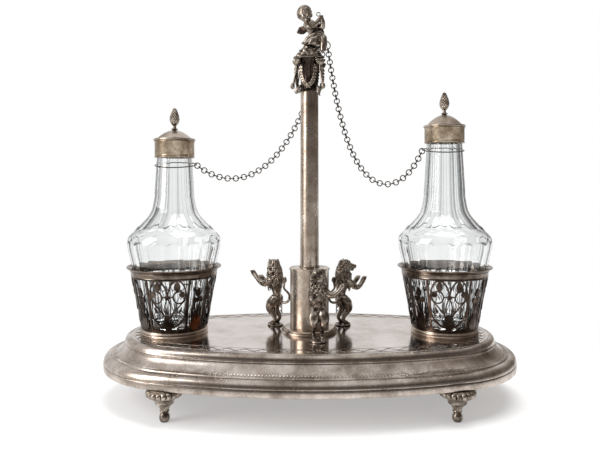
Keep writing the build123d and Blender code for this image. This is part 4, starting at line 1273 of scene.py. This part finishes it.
bpy.ops.mesh.primitive_plane_add(size=8)
floor = bpy.context.object
floor.name = "floor"
paper, paper_shader = new_material("white_paper")
join_paper = paper.node_tree.links.new
paper_place = add(paper, "ShaderNodeTexCoord").outputs["Object"]
paper_axes = add(paper, "ShaderNodeSeparateXYZ", {"Vector": paper_place})
# the paper takes the set's shadow near it and runs out to plain white
spread_x = add(paper, "ShaderNodeMath", {0: paper_axes.outputs["X"], 1: 0.28}, operation="DIVIDE")
spread_y = add(paper, "ShaderNodeMath", {0: paper_axes.outputs["Y"], 1: 0.2}, operation="DIVIDE")
spread = add(paper, "ShaderNodeCombineXYZ", {"X": spread_x.outputs[0], "Y": spread_y.outputs[0]})
far = add(paper, "ShaderNodeVectorMath", {0: spread.outputs[0]}, operation="LENGTH")
white_out = add(paper, "ShaderNodeMapRange", {"Value": far.outputs["Value"], "From Min": 0.55,
                                              "From Max": 1.25,
                                                "To Min": 0.35}, interpolation_type="SMOOTHSTEP")
paper_path = add(paper, "ShaderNodeLightPath")
looked = add(paper, "ShaderNodeMath", {0: paper_path.outputs["Is Camera Ray"],
                                       1: paper_path.outputs["Is Transmission Ray"]},
             operation="MAXIMUM")
looked = add(paper, "ShaderNodeMath",
             {0: looked.outputs[0], 1: paper_path.outputs["Is Glossy Ray"]}, operation="MAXIMUM")
plain = add(paper, "ShaderNodeMath", {0: looked.outputs[0], 1: white_out.outputs[0]},
            operation="MULTIPLY")
paper_shader.inputs["Base Color"].default_value = linear("#f4f4f4")
paper_shader.inputs["Roughness"].default_value = 0.9
paper_shader.inputs["Specular IOR Level"].default_value = 0.0
glow = add(paper, "ShaderNodeEmission", {"Color": (1, 1, 1, 1), "Strength": 1.0})
paper_mix = add(paper, "ShaderNodeMixShader", {0: plain.outputs[0], 1: paper_shader.outputs[0],
                                               2: glow.outputs[0]})
for node in paper.node_tree.nodes:
    if node.type == "OUTPUT_MATERIAL":
        join_paper(paper_mix.outputs[0], node.inputs["Surface"])
floor.data.materials.append(paper)


def lamp(name, place, aim, size, power, colour="#ffffff"):
    """A soft area lamp that faces a point."""
    data = bpy.data.lights.new(name, "AREA")
    data.shape = "RECTANGLE"
    data.size, data.size_y = size
    data.energy = power
    data.color = linear(colour)[:3]
    made = bpy.data.objects.new(name, data)
    made.location = place
    made.rotation_euler = (Vector(aim) - Vector(place)).to_track_quat("-Z", "Y").to_euler()
    scene.collection.objects.link(made)
    return made


lamp("left_softbox", (-0.9, -0.45, 0.55), (0, 0, 0.12), (0.5, 0.9), 9)
top = lamp("top_softbox", (0.1, 0.1, 1.2), (0, 0, 0.1), (1.0, 0.8), 14)
top.visible_glossy = False  # the white ceiling already shows in the metal

camera_data = bpy.data.cameras.new("camera")
camera_data.lens = 36
camera_data.sensor_width = 36
camera_data.shift_y = -0.065
camera = bpy.data.objects.new("camera", camera_data)
camera.location = (-0.0071, -0.4493, 0.1528)
camera.rotation_euler = (math.radians(90), 0, 0)
scene.collection.objects.link(camera)
scene.camera = camera
